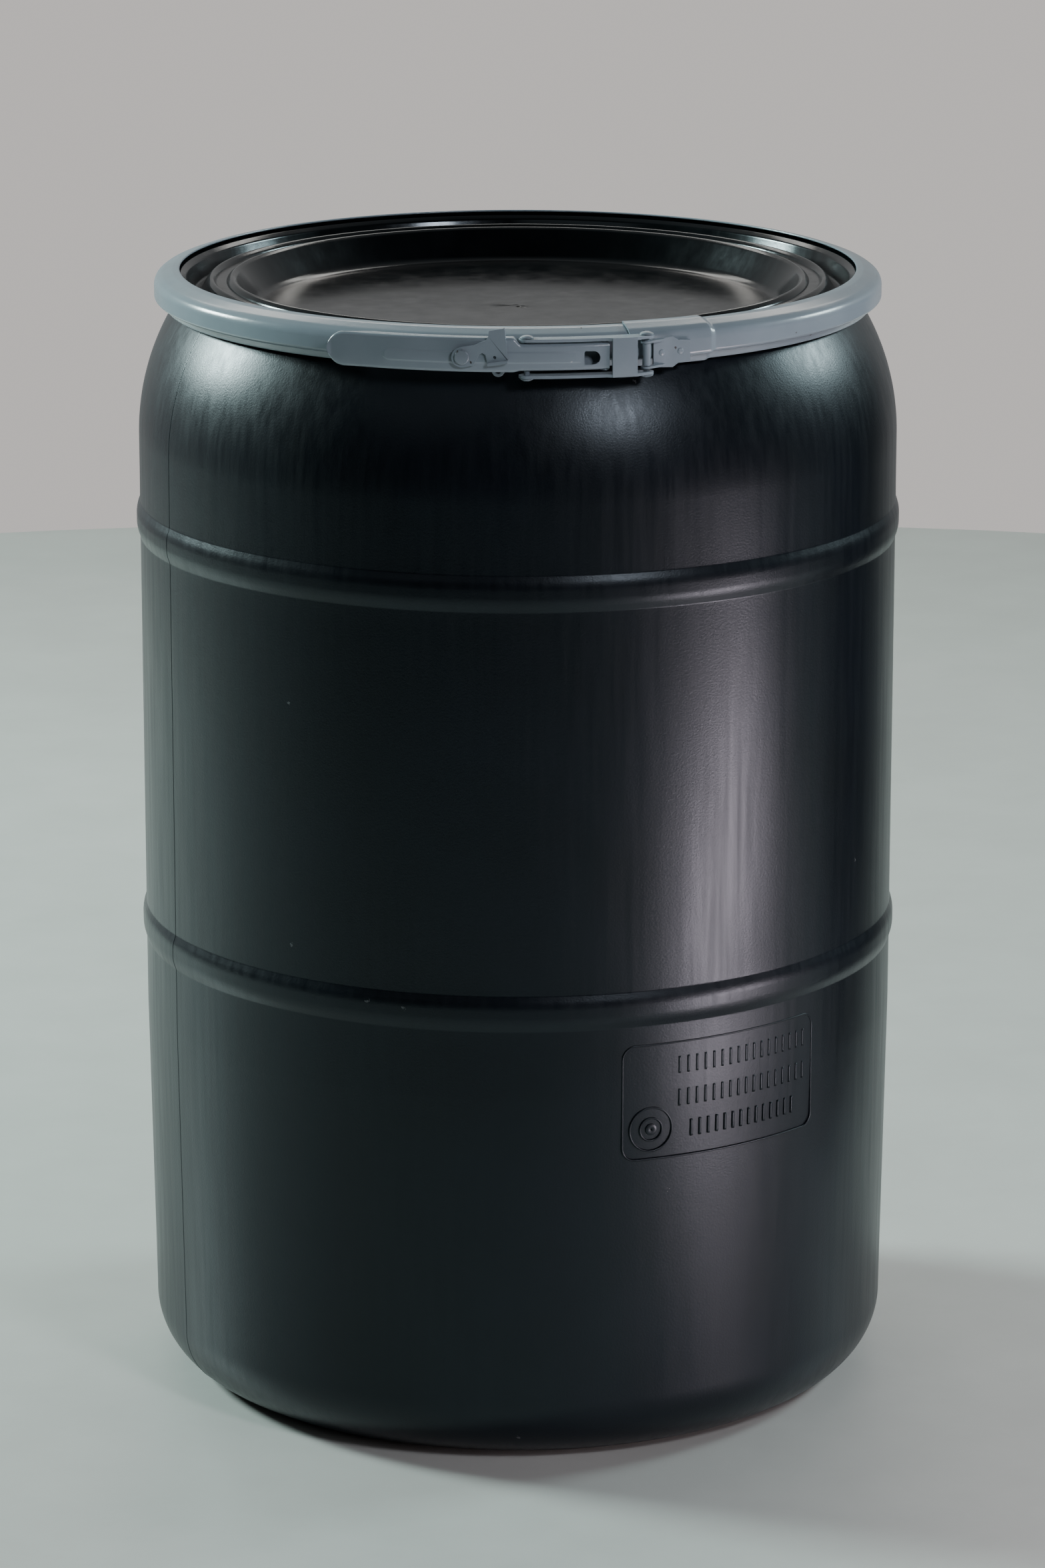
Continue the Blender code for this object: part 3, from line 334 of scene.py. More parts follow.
def domed(name, head, body, material, centre, axis, foot, profile, turns=48):
    """A small turned piece: a profile of (radius, height) spun about an axis through a centre.

    A point is centre + axis (foot + height) + radius (cos t u + sin t v), where u and v are square
    to the axis.
    """
    axis = Vector(axis).normalized()
    u = axis.orthogonal().normalized()
    v = axis.cross(u)
    t = np.linspace(0, 2 * math.pi, turns, endpoint=False)[:, None, None]
    spun = np.cos(t) * np.array(u) + np.sin(t) * np.array(v)
    radius, height = profile[:, 0][None, :, None] * head, profile[:, 1][None, :, None]
    grid = np.array(centre) + (foot + height) * np.array(axis) + radius * spun
    return surface(name, [(grid, True, False, False)], body, material, 50.0)


def smooth_step(low, high, value):
    """Nought below low, one above high, and 3 t^2 - 2 t^3 between them."""
    t = np.clip((np.asarray(value, float) - low) / (high - low), 0.0, 1.0)
    return t * t * (3 - 2 * t)


# ------------------------------------------------------------------ finishes

def node(tree, kind, values=(), **options):
    """Add a shader node, set its options and its unlinked inputs by name or number."""
    made = tree.nodes.new("ShaderNode" + kind)
    for option, value in options.items():
        setattr(made, option, value)
    for socket, value in dict(values).items():
        made.inputs[socket].default_value = value
    return made


def feed(tree, source, socket):
    """Set an input to a plain number, or link an output to it."""
    if isinstance(source, (int, float)):
        socket.default_value = source
    else:
        tree.links.new(source, socket)


def maths(tree, operation, *terms, clamp=False):
    """The result of one operation on outputs and plain numbers, in their order."""
    made = node(tree, "Math", operation=operation, use_clamp=clamp)
    for term, socket in zip(terms, made.inputs):
        feed(tree, term, socket)
    return made.outputs[0]


def ranged(tree, value, low, high, bottom=0.0, top=1.0):
    """A value that runs from low to high, moved to run from bottom to top."""
    made = node(tree, "MapRange", {"From Min": low, "From Max": high, "To Min": bottom, "To Max": top})
    feed(tree, value, made.inputs["Value"])
    return made.outputs[0]


def noise(tree, place, scale, detail, roughness=0.5):
    """Noise at a place."""
    made = node(tree, "TexNoise", {"Detail": detail, "Roughness": roughness})
    feed(tree, place, made.inputs["Vector"])
    feed(tree, scale, made.inputs["Scale"])
    return made.outputs["Fac"]


def toned(tree, tint, mask, low, high, dark, light):
    """A tint between a darker and a lighter share of itself, by a mask that runs from low to high."""
    made = node(tree, "ValToRGB")
    for stop, at, scale in zip(made.color_ramp.elements, (low, high), (dark, light)):
        stop.position = at
        stop.color = (*[min(1, c * scale) for c in tint], 1)
    feed(tree, mask, made.inputs["Fac"])
    return made.outputs["Color"]


def laid_over(tree, mask, under, over):
    """A plain colour laid over another one by a mask."""
    made = node(tree, "Mix", data_type="RGBA")
    made.inputs[7].default_value = (*over, 1)
    feed(tree, mask, made.inputs[0])
    feed(tree, under, made.inputs[6])
    return made.outputs[2]


def bumped(tree, shader, height, strength, distance):
    """Lead a height through a Bump node into a shader's normal."""
    bump = node(tree, "Bump", {"Strength": strength, "Distance": distance})
    feed(tree, height, bump.inputs["Height"])
    feed(tree, bump.outputs["Normal"], shader.inputs["Normal"])


def group(name, inputs, outputs):
    """An empty node group with named inputs of (name, default) and named outputs, all plain numbers."""
    tree = bpy.data.node_groups.new(name, "ShaderNodeTree")
    for label, default in inputs:
        socket = tree.interface.new_socket(label, in_out="INPUT", socket_type="NodeSocketFloat")
        socket.default_value = default
    for label in outputs:
        tree.interface.new_socket(label, in_out="OUTPUT", socket_type="NodeSocketFloat")
    return tree, tree.nodes.new("NodeGroupInput").outputs, tree.nodes.new("NodeGroupOutput").inputs


def grain_group():
    """Fine leathery grain with slower streaks: a height and a mottle, both from Object coordinates."""
    name = "moulded grain"
    if name in bpy.data.node_groups:
        return bpy.data.node_groups[name]
    tree, given, put = group(name, [("Grain size", 900.0), ("Grain depth", 1.0), ("Streak size", 60.0),
                                    ("Streak depth", 1.0)], ["Height", "Mottle", "Streaks"])
    place = node(tree, "TexCoord").outputs["Object"]
    grain = noise(tree, place, given["Grain size"], 3.0, 0.55)
    pores = node(tree, "TexVoronoi", {"Randomness": 1.0}, feature="SMOOTH_F1")
    feed(tree, place, pores.inputs["Vector"])
    feed(tree, given["Grain size"], pores.inputs["Scale"])
    stretch = node(tree, "Mapping", {"Scale": (1.0, 1.0, 0.05)})
    feed(tree, place, stretch.inputs["Vector"])
    streaks = noise(tree, stretch.outputs["Vector"], given["Streak size"], 5.0, 0.6)
    both = maths(tree, "ADD", grain, pores.outputs["Distance"])
    fine = maths(tree, "MULTIPLY", both, given["Grain depth"])
    slow = maths(tree, "MULTIPLY", streaks, given["Streak depth"])
    feed(tree, maths(tree, "ADD", fine, slow), put["Height"])
    feed(tree, noise(tree, place, 9.0, 6.0, 0.62), put["Mottle"])
    feed(tree, streaks, put["Streaks"])
    return tree


def specks_group():
    """Small scattered specks: how much of one there is at each point, from Object coordinates."""
    name = "scattered specks"
    if name in bpy.data.node_groups:
        return bpy.data.node_groups[name]
    tree, given, put = group(name, [("Cell size", 120.0), ("Share", 0.2), ("Radius", 0.12)], ["Specks"])
    place = node(tree, "TexCoord").outputs["Object"]
    cells = node(tree, "TexVoronoi", {"Randomness": 1.0})
    feed(tree, place, cells.inputs["Vector"])
    feed(tree, given["Cell size"], cells.inputs["Scale"])
    ragged = maths(tree, "MULTIPLY_ADD", noise(tree, place, 700.0, 2.0), 0.25, cells.outputs["Distance"])
    inside = maths(tree, "LESS_THAN", maths(tree, "SUBTRACT", ragged, 0.12), given["Radius"])
    pick = node(tree, "SeparateColor")
    feed(tree, cells.outputs["Color"], pick.inputs[0])
    chosen = maths(tree, "LESS_THAN", pick.outputs["Red"], given["Share"])
    feed(tree, maths(tree, "MULTIPLY", inside, chosen), put["Specks"])
    return tree


def dust_group():
    """Dust that lies on faces that look up, broken up by noise."""
    name = "settled dust"
    if name in bpy.data.node_groups:
        return bpy.data.node_groups[name]
    tree, given, put = group(name, [("Amount", 0.3)], ["Dust"])
    place = node(tree, "TexCoord")
    split = node(tree, "SeparateXYZ")
    feed(tree, place.outputs["Normal"], split.inputs[0])
    up = ranged(tree, split.outputs["Z"], 0.55, 1.0)
    patch = ranged(tree, noise(tree, place.outputs["Object"], 26.0, 8.0, 0.7), 0.42, 0.72)
    both = maths(tree, "MULTIPLY", up, patch)
    feed(tree, maths(tree, "MULTIPLY", both, given["Amount"]), put["Dust"])
    return tree


def placed_group(tree, shared, values):
    """The outputs of a shared group set into a material with its own values."""
    made = tree.nodes.new("ShaderNodeGroup")
    made.node_tree = shared
    for socket, value in values.items():
        made.inputs[socket].default_value = value
    return made.outputs


def blank(name):
    """A new material, its node tree and its shader."""
    material = bpy.data.materials.new(name)
    material.use_nodes = True
    return material, material.node_tree, material.node_tree.nodes["Principled BSDF"]


def moulded_plastic(name, tint, roughness, grain_size, grain_depth, streak_depth, dust, specular=0.5,
                    scuffs=0.0, streak_size=70.0):
    """Moulded plastic: grained, faintly streaked and mottled, with dust on top and a few scuffs."""
    if name in bpy.data.materials:
        return bpy.data.materials[name]
    material, tree, shader = blank(name)
    grain = placed_group(tree, grain_group(), {"Grain size": grain_size, "Grain depth": 0.6,
                                               "Streak size": streak_size, "Streak depth": streak_depth})
    settled = placed_group(tree, dust_group(), {"Amount": dust})["Dust"]
    flecks = placed_group(tree, specks_group(), {"Cell size": 42.0, "Share": scuffs, "Radius": 0.05})
    tones = toned(tree, tint, grain["Mottle"], 0.35, 0.7, 0.75, 1.35)
    dusty = laid_over(tree, settled, tones, (0.16, 0.16, 0.15))
    scuffed = laid_over(tree, flecks["Specks"], dusty, (0.07, 0.075, 0.08))
    feed(tree, scuffed, shader.inputs["Base Color"])
    rough = ranged(tree, grain["Streaks"], 0.3, 0.7, roughness - 0.04, roughness + 0.06)
    duller = maths(tree, "MULTIPLY_ADD", settled, 0.5, rough, clamp=True)
    feed(tree, duller, shader.inputs["Roughness"])
    bumped(tree, shader, grain["Height"], 1.0, grain_depth)
    shader.inputs["Specular IOR Level"].default_value = specular
    shader.inputs["Specular Tint"].default_value = (0.80, 0.93, 1.0, 1.0)
    return material


def enamel(name, tint, bare, roughness):
    """Sprayed enamel on steel: orange peel, faint runs of tone, chips down to the primer, pale specks."""
    if name in bpy.data.materials:
        return bpy.data.materials[name]
    material, tree, shader = blank(name)
    peel = placed_group(tree, grain_group(), {"Grain size": 330.0, "Grain depth": 0.35,
                                              "Streak size": 18.0, "Streak depth": 0.6})
    chips = placed_group(tree, specks_group(), {"Cell size": 105.0, "Share": 0.20, "Radius": 0.075})["Specks"]
    pale = placed_group(tree, specks_group(), {"Cell size": 61.0, "Share": 0.10, "Radius": 0.03})
    settled = placed_group(tree, dust_group(), {"Amount": 0.18})
    tones = toned(tree, tint, peel["Mottle"], 0.3, 0.75, 0.88, 1.10)
    chipped = laid_over(tree, chips, tones, bare)
    specked = laid_over(tree, pale["Specks"], chipped, (0.5, 0.52, 0.53))
    dusty = laid_over(tree, settled["Dust"], specked, (0.30, 0.30, 0.29))
    feed(tree, dusty, shader.inputs["Base Color"])
    rough = ranged(tree, peel["Mottle"], 0.3, 0.7, roughness - 0.05, roughness + 0.07)
    feed(tree, maths(tree, "MULTIPLY_ADD", chips, 0.35, rough, clamp=True), shader.inputs["Roughness"])
    bumped(tree, shader, maths(tree, "MULTIPLY_ADD", chips, -1.2, peel["Height"]), 0.5, 0.00012)
    return material


def body_finish():
    """The body's plastic."""
    given = bpy.context.scene.drum_body
    return moulded_plastic("body plastic", given.colour, given.gloss, grain_size=820.0,
                           grain_depth=0.00006, streak_depth=0.5, dust=0.03, specular=0.36, scuffs=0.03,
                           streak_size=190.0)


def lid_finish():
    """The lid's plastic, smoother than the body's."""
    given = bpy.context.scene.drum_lid
    return moulded_plastic("lid plastic", given.colour, given.gloss, grain_size=420.0,
                           grain_depth=0.000015, streak_depth=0.4, dust=0.006, specular=0.42)


def gasket_finish():
    """The gasket's rubber."""
    given = bpy.context.scene.drum_lid
    return moulded_plastic("gasket rubber", given.rubber, 0.62, grain_size=1100.0, grain_depth=0.00010,
                           streak_depth=0.3, dust=0.3)


def band_finish():
    """The enamel on the band and the closure."""
    given = bpy.context.scene.drum_band
    return enamel("band enamel", given.colour, given.bare, given.gloss)


def rivet_finish():
    """The same enamel over rivets and pins, a little more worn."""
    given = bpy.context.scene.drum_band
    return enamel("rivet enamel", tuple(c * 0.92 for c in given.colour), given.bare, given.gloss + 0.03)


# ------------------------------------------------------------------ body

def body_outline(given):
    """The body's outside as (radius, height) from the middle of the base to the rim's inner edge.

    Straight pieces with rounded corners, but for the shoulder, which is one arc that leaves the wall
    upright, and the foot, whose arc ends flat on the floor.
    """
    wall = HOOP_RADIUS - given.hoop_proud
    proud, half, slope = given.hoop_proud, given.hoop_width / 2, 0.0062
    foot = given.foot
    foot_wall = wall - WALL_DRAFT
    t = np.linspace(0, 0.5 * math.pi, 28)
    foot_arc = np.stack((foot_wall - foot + foot * np.sin(t), FOOT + foot * (1 - np.cos(t))), axis=1)
    base = rounded([(0.0, FOOT + 0.0040), (0.164, FOOT + 0.0040), (0.172, FOOT), (0.185, FOOT)],
                   [0, 0.010, 0.008, 0], 5)
    neck, neck_base = wall - NECK_INSET, RIM_UNDER - NECK_RISE
    sweep = math.acos(1 - (wall - neck) / given.shoulder)
    shoulder_low = neck_base - given.shoulder * math.sin(sweep)
    t = np.linspace(0, sweep, 40)
    shoulder = np.stack((wall - given.shoulder * (1 - np.cos(t)),
                         shoulder_low + given.shoulder * np.sin(t)), axis=1)
    rise, corner = [(foot_wall, FOOT + foot + 0.004), (wall, 0.2490)], [0, 0.2]
    for middle in (given.lower_hoop, given.upper_hoop):
        rise += [(wall, middle - half), (wall + proud, middle - half + slope),
                 (wall + proud, middle + half - slope), (wall, middle + half)]
        corner += [0.0035, 0.0220, 0.0220, 0.0035]
    rise.append((wall, shoulder_low - 0.004))
    corner.append(0)
    upright = rounded(rise, corner, 9)
    bore = neck - given.wall
    top = rounded([(neck, neck_base), (neck, RIM_UNDER), (RIM_REACH, RIM_UNDER), (RIM_REACH, RIM),
                   (bore, RIM), (bore, LINING_TOP)], [0, 0.0012, 0.0008, 0.0012, 0.0010, 0], 5)
    return np.concatenate((base, foot_arc, upright, shoulder, top))


def body_lining(given):
    """The inside as (radius, height), from under the rim down to the middle of the base."""
    wall = HOOP_RADIUS - given.hoop_proud - given.wall
    bore = HOOP_RADIUS - given.hoop_proud - NECK_INSET - given.wall
    low = FOOT + given.foot
    return rounded([(bore, LINING_TOP), (bore, RIM - 0.020), (wall - 0.006, RIM - 0.062), (wall, 0.600),
                    (wall, 0.249), (wall - WALL_DRAFT, low), (wall - 0.010, FOOT + 0.018),
                    (0.185, FOOT + 0.004), (0.164, FOOT + 0.0072), (0.0, FOOT + 0.0072)],
                   [0, 0.01, 0.12, 0.12, 0.1, 0.03, 0.045, 0.02, 0.01, 0], 8)


def spaced(path, longest):
    """A path with every side longer than a limit cut into equal parts."""
    sides = np.hypot(*np.diff(path, axis=0).T)
    count = np.maximum(1, np.ceil(sides / longest).astype(int))
    at = np.concatenate([i + np.arange(n) / n for i, n in enumerate(count)] + [[len(path) - 1]])
    whole = np.arange(len(path))
    return np.stack([np.interp(at, whole, path[:, k]) for k in (0, 1)], axis=1)


def strayed(radius, angle, height, given):
    """How far the moulded wall lies inside its true radius at each point.

    A sum of slow waves round and up the wall, raised by one and halved so that it only goes inwards, faded
    out at the base, at the hoops and above the shoulder.
    """
    waves = (np.sin(3 * angle + 5 * height + 0.7) + 0.7 * np.sin(5 * angle - 9 * height + 2.1)
             + 0.5 * np.sin(8 * angle + 17 * height + 4.0) + 0.45 * np.sin(13 * angle - 6 * height))
    inwards = (waves / 2.65 + 1) / 2
    fade = smooth_step(0.03, 0.09, height) * (1 - smooth_step(0.66, 0.70, height))
    for middle in (given.lower_hoop, given.upper_hoop):
        fade = fade * smooth_step(0.010, 0.022, np.abs(height - middle))
    outer = smooth_step(0.20, 0.22, radius)
    return given.unevenness * inwards * fade * outer


class DRUM_OT_body(bpy.types.Operator):
    """Make the blow-moulded body"""

    bl_idname = "drum.body"
    bl_label = "Body"

    def execute(self, context):
        given = context.scene.drum_body
        outside = spaced(body_outline(given), 0.006)
        inside = spaced(body_lining(given), 0.03)
        profile = np.concatenate((outside, inside))
        grid = self.turned(profile, 240, given)
        thing = surface("moulded_body", [(grid, True, False, False)], "drum", body_finish(), 42.0,
                        merge=2e-6)
        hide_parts("drum_body")
        return {"FINISHED"}

    @staticmethod
    def turned(profile, count, given):
        """The profile turned a full circle, less the wall's unevenness."""
        angle = np.linspace(0, 2 * math.pi, count, endpoint=False)[:, None]
        radius, height = profile[None, :, 0], profile[None, :, 1]
        return placed(radius - strayed(radius, angle, height, given), angle, height)


# ------------------------------------------------------------------ marks

def raised_strip(path, width, relief, sunk, closed):
    """A low rounded strip carried along a path of (arc, height) on the wall.

    Its section is width cos t wide and relief sin t high, with both edges sunk into the wall.
    """
    along = np.roll(path, -1, axis=0) - np.roll(path, 1, axis=0) if closed else np.gradient(path, axis=0)
    along /= np.linalg.norm(along, axis=1)[:, None]
    side = np.stack((-along[:, 1], along[:, 0]), axis=1)
    t = np.linspace(0, math.pi, 7)[None, :]
    across = width / 2 * np.cos(t)
    out = relief * np.sin(t) ** 0.7 - sunk * (np.abs(np.cos(t)) > 0.99)
    flat = path[:, None, :] + side[:, None, :] * across[:, :, None]
    return flat, np.broadcast_to(out, flat.shape[:2])


def on_wall(flat, out, wall):
    """Points of (arc, height) with a height above the wall, wrapped onto it."""
    return placed(wall + out, flat[..., 0] / wall, flat[..., 1])


def round_box(left, right, low, high, corner, count=10):
    """A closed path round a box with rounded corners."""
    t = np.linspace(0, 0.5 * math.pi, count)
    corners = []
    for x, z, start in ((right - corner, low + corner, -0.5), (right - corner, high - corner, 0.0),
                        (left + corner, high - corner, 0.5), (left + corner, low + corner, 1.0)):
        corners.append(np.stack((x + corner * np.cos(t + start * math.pi),
                                 z + corner * np.sin(t + start * math.pi)), axis=1))
    return np.concatenate(corners)


def ring_path(x, z, radius, count=48):
    """A closed circle on the wall."""
    t = np.linspace(0, 2 * math.pi, count, endpoint=False)
    return np.stack((x + radius * np.cos(t), z + radius * np.sin(t)), axis=1)


class DRUM_OT_marks(bpy.types.Operator):
    """Make the raised panel of plain marks and the mould's parting lines"""

    bl_idname = "drum.marks"
    bl_label = "Marks and seams"

    def execute(self, context):
        body, given = context.scene.drum_body, context.scene.drum_marks
        wall = HOOP_RADIUS - body.hoop_proud
        base = wall - body.unevenness
        left, right = given.left * wall, given.right * wall
        line, relief = given.line, given.relief + body.unevenness / 2
        sheets = []

        def strip(path, width, closed=True):
            flat, out = raised_strip(path, width, relief, 0.0008, closed)
            sheets.append((on_wall(flat, out, base), closed, False, False))

        border = round_box(left, right, given.low, given.high, given.corner)
        strip(spaced(np.concatenate((border, border[:1])), 0.003)[:-1], line)
        x, z, radius = left + 0.0190, given.low + 0.0195, 0.0142
        strip(ring_path(x, z, radius), line)
        strip(ring_path(x, z, radius * 0.52, 32), line)
        dot = ring_path(x, z, 0.0021, 20)
        strip(dot, 0.0036)
        rows = ((given.high - 0.0150, left + 0.0385, right - 0.0060),
                (given.high - 0.0365, left + 0.0385, right - 0.0060),
                (given.high - 0.0575, left + 0.0470, right - 0.0180))
        for height, start, end in rows:
            for middle in np.arange(start, end, 0.0062):
                rise = np.linspace(height - 0.0055, height + 0.0055, 9)
                upright = np.stack((np.full(9, middle), rise), axis=1)
                strip(upright, 0.0019, False)
        thing = surface("moulded_marks", sheets, "drum", body_finish(), 60.0)
        self.deepened(thing, 0.0009)
        seams = []
        profile = spaced(body_outline(body), 0.006)
        keep = (profile[:, 0] > 0.205) & (profile[:, 1] < RIM - 0.0062) & (profile[:, 1] > 0.006)
        profile = profile[keep]
        for turn in (body.seam_turn, body.seam_turn + math.pi):
            width = np.array([-0.0011, -0.0005, 0.0, 0.0005, 0.0011])[:, None]
            out = np.array([-0.0006, 0.00005, 0.00022, 0.00005, -0.0006])[:, None]
            slope = np.gradient(profile, axis=0)
            slope /= np.linalg.norm(slope, axis=1)[:, None]
            radius = profile[None, :, 0] + out * slope[None, :, 1]
            height = profile[None, :, 1] - out * slope[None, :, 0]
            true = radius - strayed(radius, turn, height, body)
            seams.append((placed(true, turn + width / profile[None, :, 0], height), False, False, False))
        thing = surface("mould_seams", seams, "drum", body_finish(), 70.0)
        self.deepened(thing, 0.0008)
        return {"FINISHED"}

    @staticmethod
    def deepened(thing, depth):
        """Give a raised sheet its depth, into the wall."""
        solid = thing.modifiers.new("depth", "SOLIDIFY")
        solid.thickness = depth
        solid.offset = -1.0


# ------------------------------------------------------------------ lid

class DRUM_OT_lid(bpy.types.Operator):
    """Make the ribbed lid and its gasket"""

    bl_idname = "drum.lid"
    bl_label = "Lid and gasket"

    def execute(self, context):
        given = context.scene.drum_lid
        top, skirt = LID_HIGH.z, LID_HIGH.x
        under = top - given.flange
        crest, valley, panel, groove = RIM + 0.0057, RIM - 0.0010, RIM - 0.0146, RIM - 0.0058
        upper = [(0.0, panel), (given.panel, panel), (given.panel + 0.0130, crest - 0.0012),
                 (given.inner_rib, crest + 0.0006), (given.inner_rib + 0.0032, crest - 0.0024),
                 (given.inner_rib + 0.0048, valley), (given.outer_rib - 0.0048, valley),
                 (given.outer_rib - 0.0028, crest - 0.0020), (given.outer_rib, crest + 0.0006),
                 (given.outer_rib + 0.0028, crest - 0.0020),
                 (given.groove - 0.0020, groove), (given.groove + 0.0020, groove),
                 (0.2130, top - 0.0025), (0.2165, top), (skirt - 0.0031, top - 0.0023),
                 (skirt, top - 0.0060), (skirt, SKIRT_FOOT)]
        corners = [0, 0.010, 0.004, 0.0022, 0.004, 0.0018, 0.0018, 0.004, 0.0022, 0.004, 0.0020, 0.0020,
                   0.003, 0.002, 0.0050, 0.0040, 0]
        inner_skirt = skirt - 0.0032
        plug_wall = SEAL_INNER - 0.0010
        lower = [(inner_skirt, SKIRT_FOOT), (inner_skirt, under), (plug_wall, under),
                 (plug_wall, groove - 0.0025),
                 (given.groove - 0.0045, groove - 0.0030), (given.outer_rib, crest - 0.0032),
                 (given.inner_rib, crest - 0.0032), (given.panel + 0.002, panel - given.sheet),
                 (0.0, panel - given.sheet)]
        lower_corners = [0, 0.0008, 0.0008, 0.002, 0.002, 0.003, 0.003, 0.006, 0]
        profile = np.concatenate((rounded(upper, corners, 7), rounded(lower, lower_corners, 5)))
        profile = spaced(profile, 0.011)
        angle = np.linspace(0, 2 * math.pi, 288, endpoint=False)[:, None]
        radius, height = profile[None, :, 0], profile[None, :, 1]
        middle = smooth_step(0.0, 1.0, 1 - radius / 0.17)
        height = height - 0.0007 * middle * (1 + 0.25 * np.sin(2 * angle + 0.4))
        grid = placed(np.broadcast_to(radius, height.shape), angle, height)
        thing = surface("ribbed_lid", [(grid, True, False, False)], "lid", lid_finish(), 42.0, merge=2e-6)
        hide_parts("lid")
        gate = rounded([(0.0, 0.00055), (0.0016, 0.00055), (0.0021, 0.0001), (0.0064, 0.0001),
                        (0.0072, -0.0004), (0.0, -0.0010)], [0, 0.0003, 0.0004, 0.0004, 0.0002, 0], 4)
        domed("moulding_gate", 1.0, "lid", lid_finish(), (0.0, 0.0, panel - 0.00085), (0, 0, 1), 0.0, gate,
              40)
        low, high = GASKET_LOW.z, GASKET_HIGH.z
        ring = rounded([(0.2215, low), (0.2270, low), (0.2270, high), (SEAL_INNER, high),
                        (SEAL_INNER, low), (0.2215, low)], [0, 0.0012, 0.0012, 0.0012, 0.0012, 0], 5)[:-1]
        angle = np.linspace(0, 2 * math.pi, 180, endpoint=False)[:, None]
        grid = placed(ring[None, :, 0], angle, ring[None, :, 1])
        thing = surface("lid_gasket", [(grid, True, True, False)], "lid", gasket_finish(), 50.0)
        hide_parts("gasket")
        return {"FINISHED"}


# ------------------------------------------------------------------ band

def band_outline(given):
    """The band's section as a closed outline of (radius, height): a rolled C with half-round edges."""
    inner, top, under = given.radius - given.sheet, LID_HIGH.z, RIM_UNDER
    path = [(inner - 0.0148, top + 0.0019), (inner - 0.0108, top + 0.0013), (inner - 0.0042, top - 0.0010),
            (inner - 0.0011, top - 0.0032), (inner, top - 0.0059), (inner, under + 0.0002),
            (inner - 0.0006, under - 0.0005), (inner - 0.0052, under - 0.0018),
            (inner - 0.0073, under - 0.0063)]
    radii = [0, 0.006, 0.0065, 0.0045, 0.0060, 0.0006, 0.0008, 0.0022, 0]
    return thickened(spaced(rounded(path, radii, 6), 0.0025), given.sheet, 4)


def socket_lift(angle, given):
    """How far the band is widened: the full step in the socket, nought past the joggle."""
    start, end = given.socket_end / given.radius, (given.socket_end + 0.0052) / given.radius
    return (given.sheet + 0.0003) * (1 - smooth_step(start, end, angle))


class DRUM_OT_band(bpy.types.Operator):
    """Make the two halves of the clamping band"""

    bl_idname = "drum.band"
    bl_label = "Clamping band"

    def execute(self, context):
        given = context.scene.drum_band
        outline = band_outline(given)
        lifted = self.lift_direction(outline, given)
        finish = band_finish()
        tongue = given.tongue_end / given.radius
        angle = np.linspace(-math.pi, tongue, 330)
        left = placed(outline[None, :, 0], angle[:, None], outline[None, :, 1])
        left_half = surface("band_left_half", [(left, False, True, True)], None, finish, 50.0)
        start = given.socket_start / given.radius
        joggle = given.socket_end / given.radius
        angle = np.concatenate((np.linspace(start, joggle, 60, endpoint=False),
                                np.linspace(joggle, joggle + 0.024, 14, endpoint=False),
                                np.linspace(joggle + 0.024, math.pi, 230)))
        lift = socket_lift(angle, given)[:, None, None]
        moved = outline[None] + lift * lifted[None]
        right = placed(moved[..., 0], angle[:, None], moved[..., 1])
        right_half = surface("band_right_half", [(right, False, True, True)], None, finish, 50.0)
        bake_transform(left_half)
        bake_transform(right_half)
        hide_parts("ring_band_left", "ring_band_back")
        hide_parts("ring_band_right")
        return {"FINISHED"}

    @staticmethod
    def lift_direction(outline, given):
        """Which way each point of the section moves in the socket: outwards, and up or down at the legs."""
        inner, top, under = given.radius - given.sheet, LID_HIGH.z, RIM_UNDER
        up = smooth_step(top - 0.0066, top - 0.0012, outline[:, 1])
        down = 1 - smooth_step(under - 0.0014, under + 0.0010, outline[:, 1])
        out = np.clip(1.0 - 0.62 * up * smooth_step(0.002, 0.010, inner - outline[:, 0]), 0.0, 1.0)
        out = np.where(down > 0.5, 1.0, out)
        return np.stack((out * (1 - 0.25 * up), up - 0.55 * down), axis=1)


# ------------------------------------------------------------------ closure

def lever_template(given):
    """One half of the lever's C section, from the free edge of the upper flange to the middle of the web.

    Each row holds (share of half the height, height offset, share of the depth, radius offset, share
    of the rib), so that one table serves every station.  The other half mirrors it.
    """
    bend, sheet, rib = given.bend, given.sheet, given.rib_half
    inside = bend - sheet
    t = np.linspace(0, 0.5 * math.pi, 7)
    rows = []
    for angle in np.linspace(0, math.pi, 6):
        rows.append((1, -sheet / 2 - sheet / 2 * math.cos(angle), 1,
                     sheet / 2 - sheet / 2 * math.sin(angle), 0))
    for angle in t:
        rows.append((1, -bend + bend * math.cos(angle), 0, -bend + bend * math.sin(angle), 0))
    rise = ((rib + 0.0007, 0), (rib + 0.0004, 0.08), (rib - 0.0003, 0.92), (rib - 0.0006, 1), (0.0, 1))
    rows += [(0, z, 0, 0.0, lift) for z, lift in rise]
    outer = np.array(rows)
    rows = []
    for angle in t[::-1]:
        rows.append((1, -bend + inside * math.cos(angle), 0, -bend + inside * math.sin(angle), 0))
    inner = np.array([(0, z, 0, -sheet, lift) for z, lift in rise[::-1]] + rows)
    return outer, inner


def mirrored(rows):
    """The same rows for the lower half, in the opposite order."""
    other = rows[::-1].copy()
    other[:, 0] *= -1
    other[:, 1] *= -1
    return other


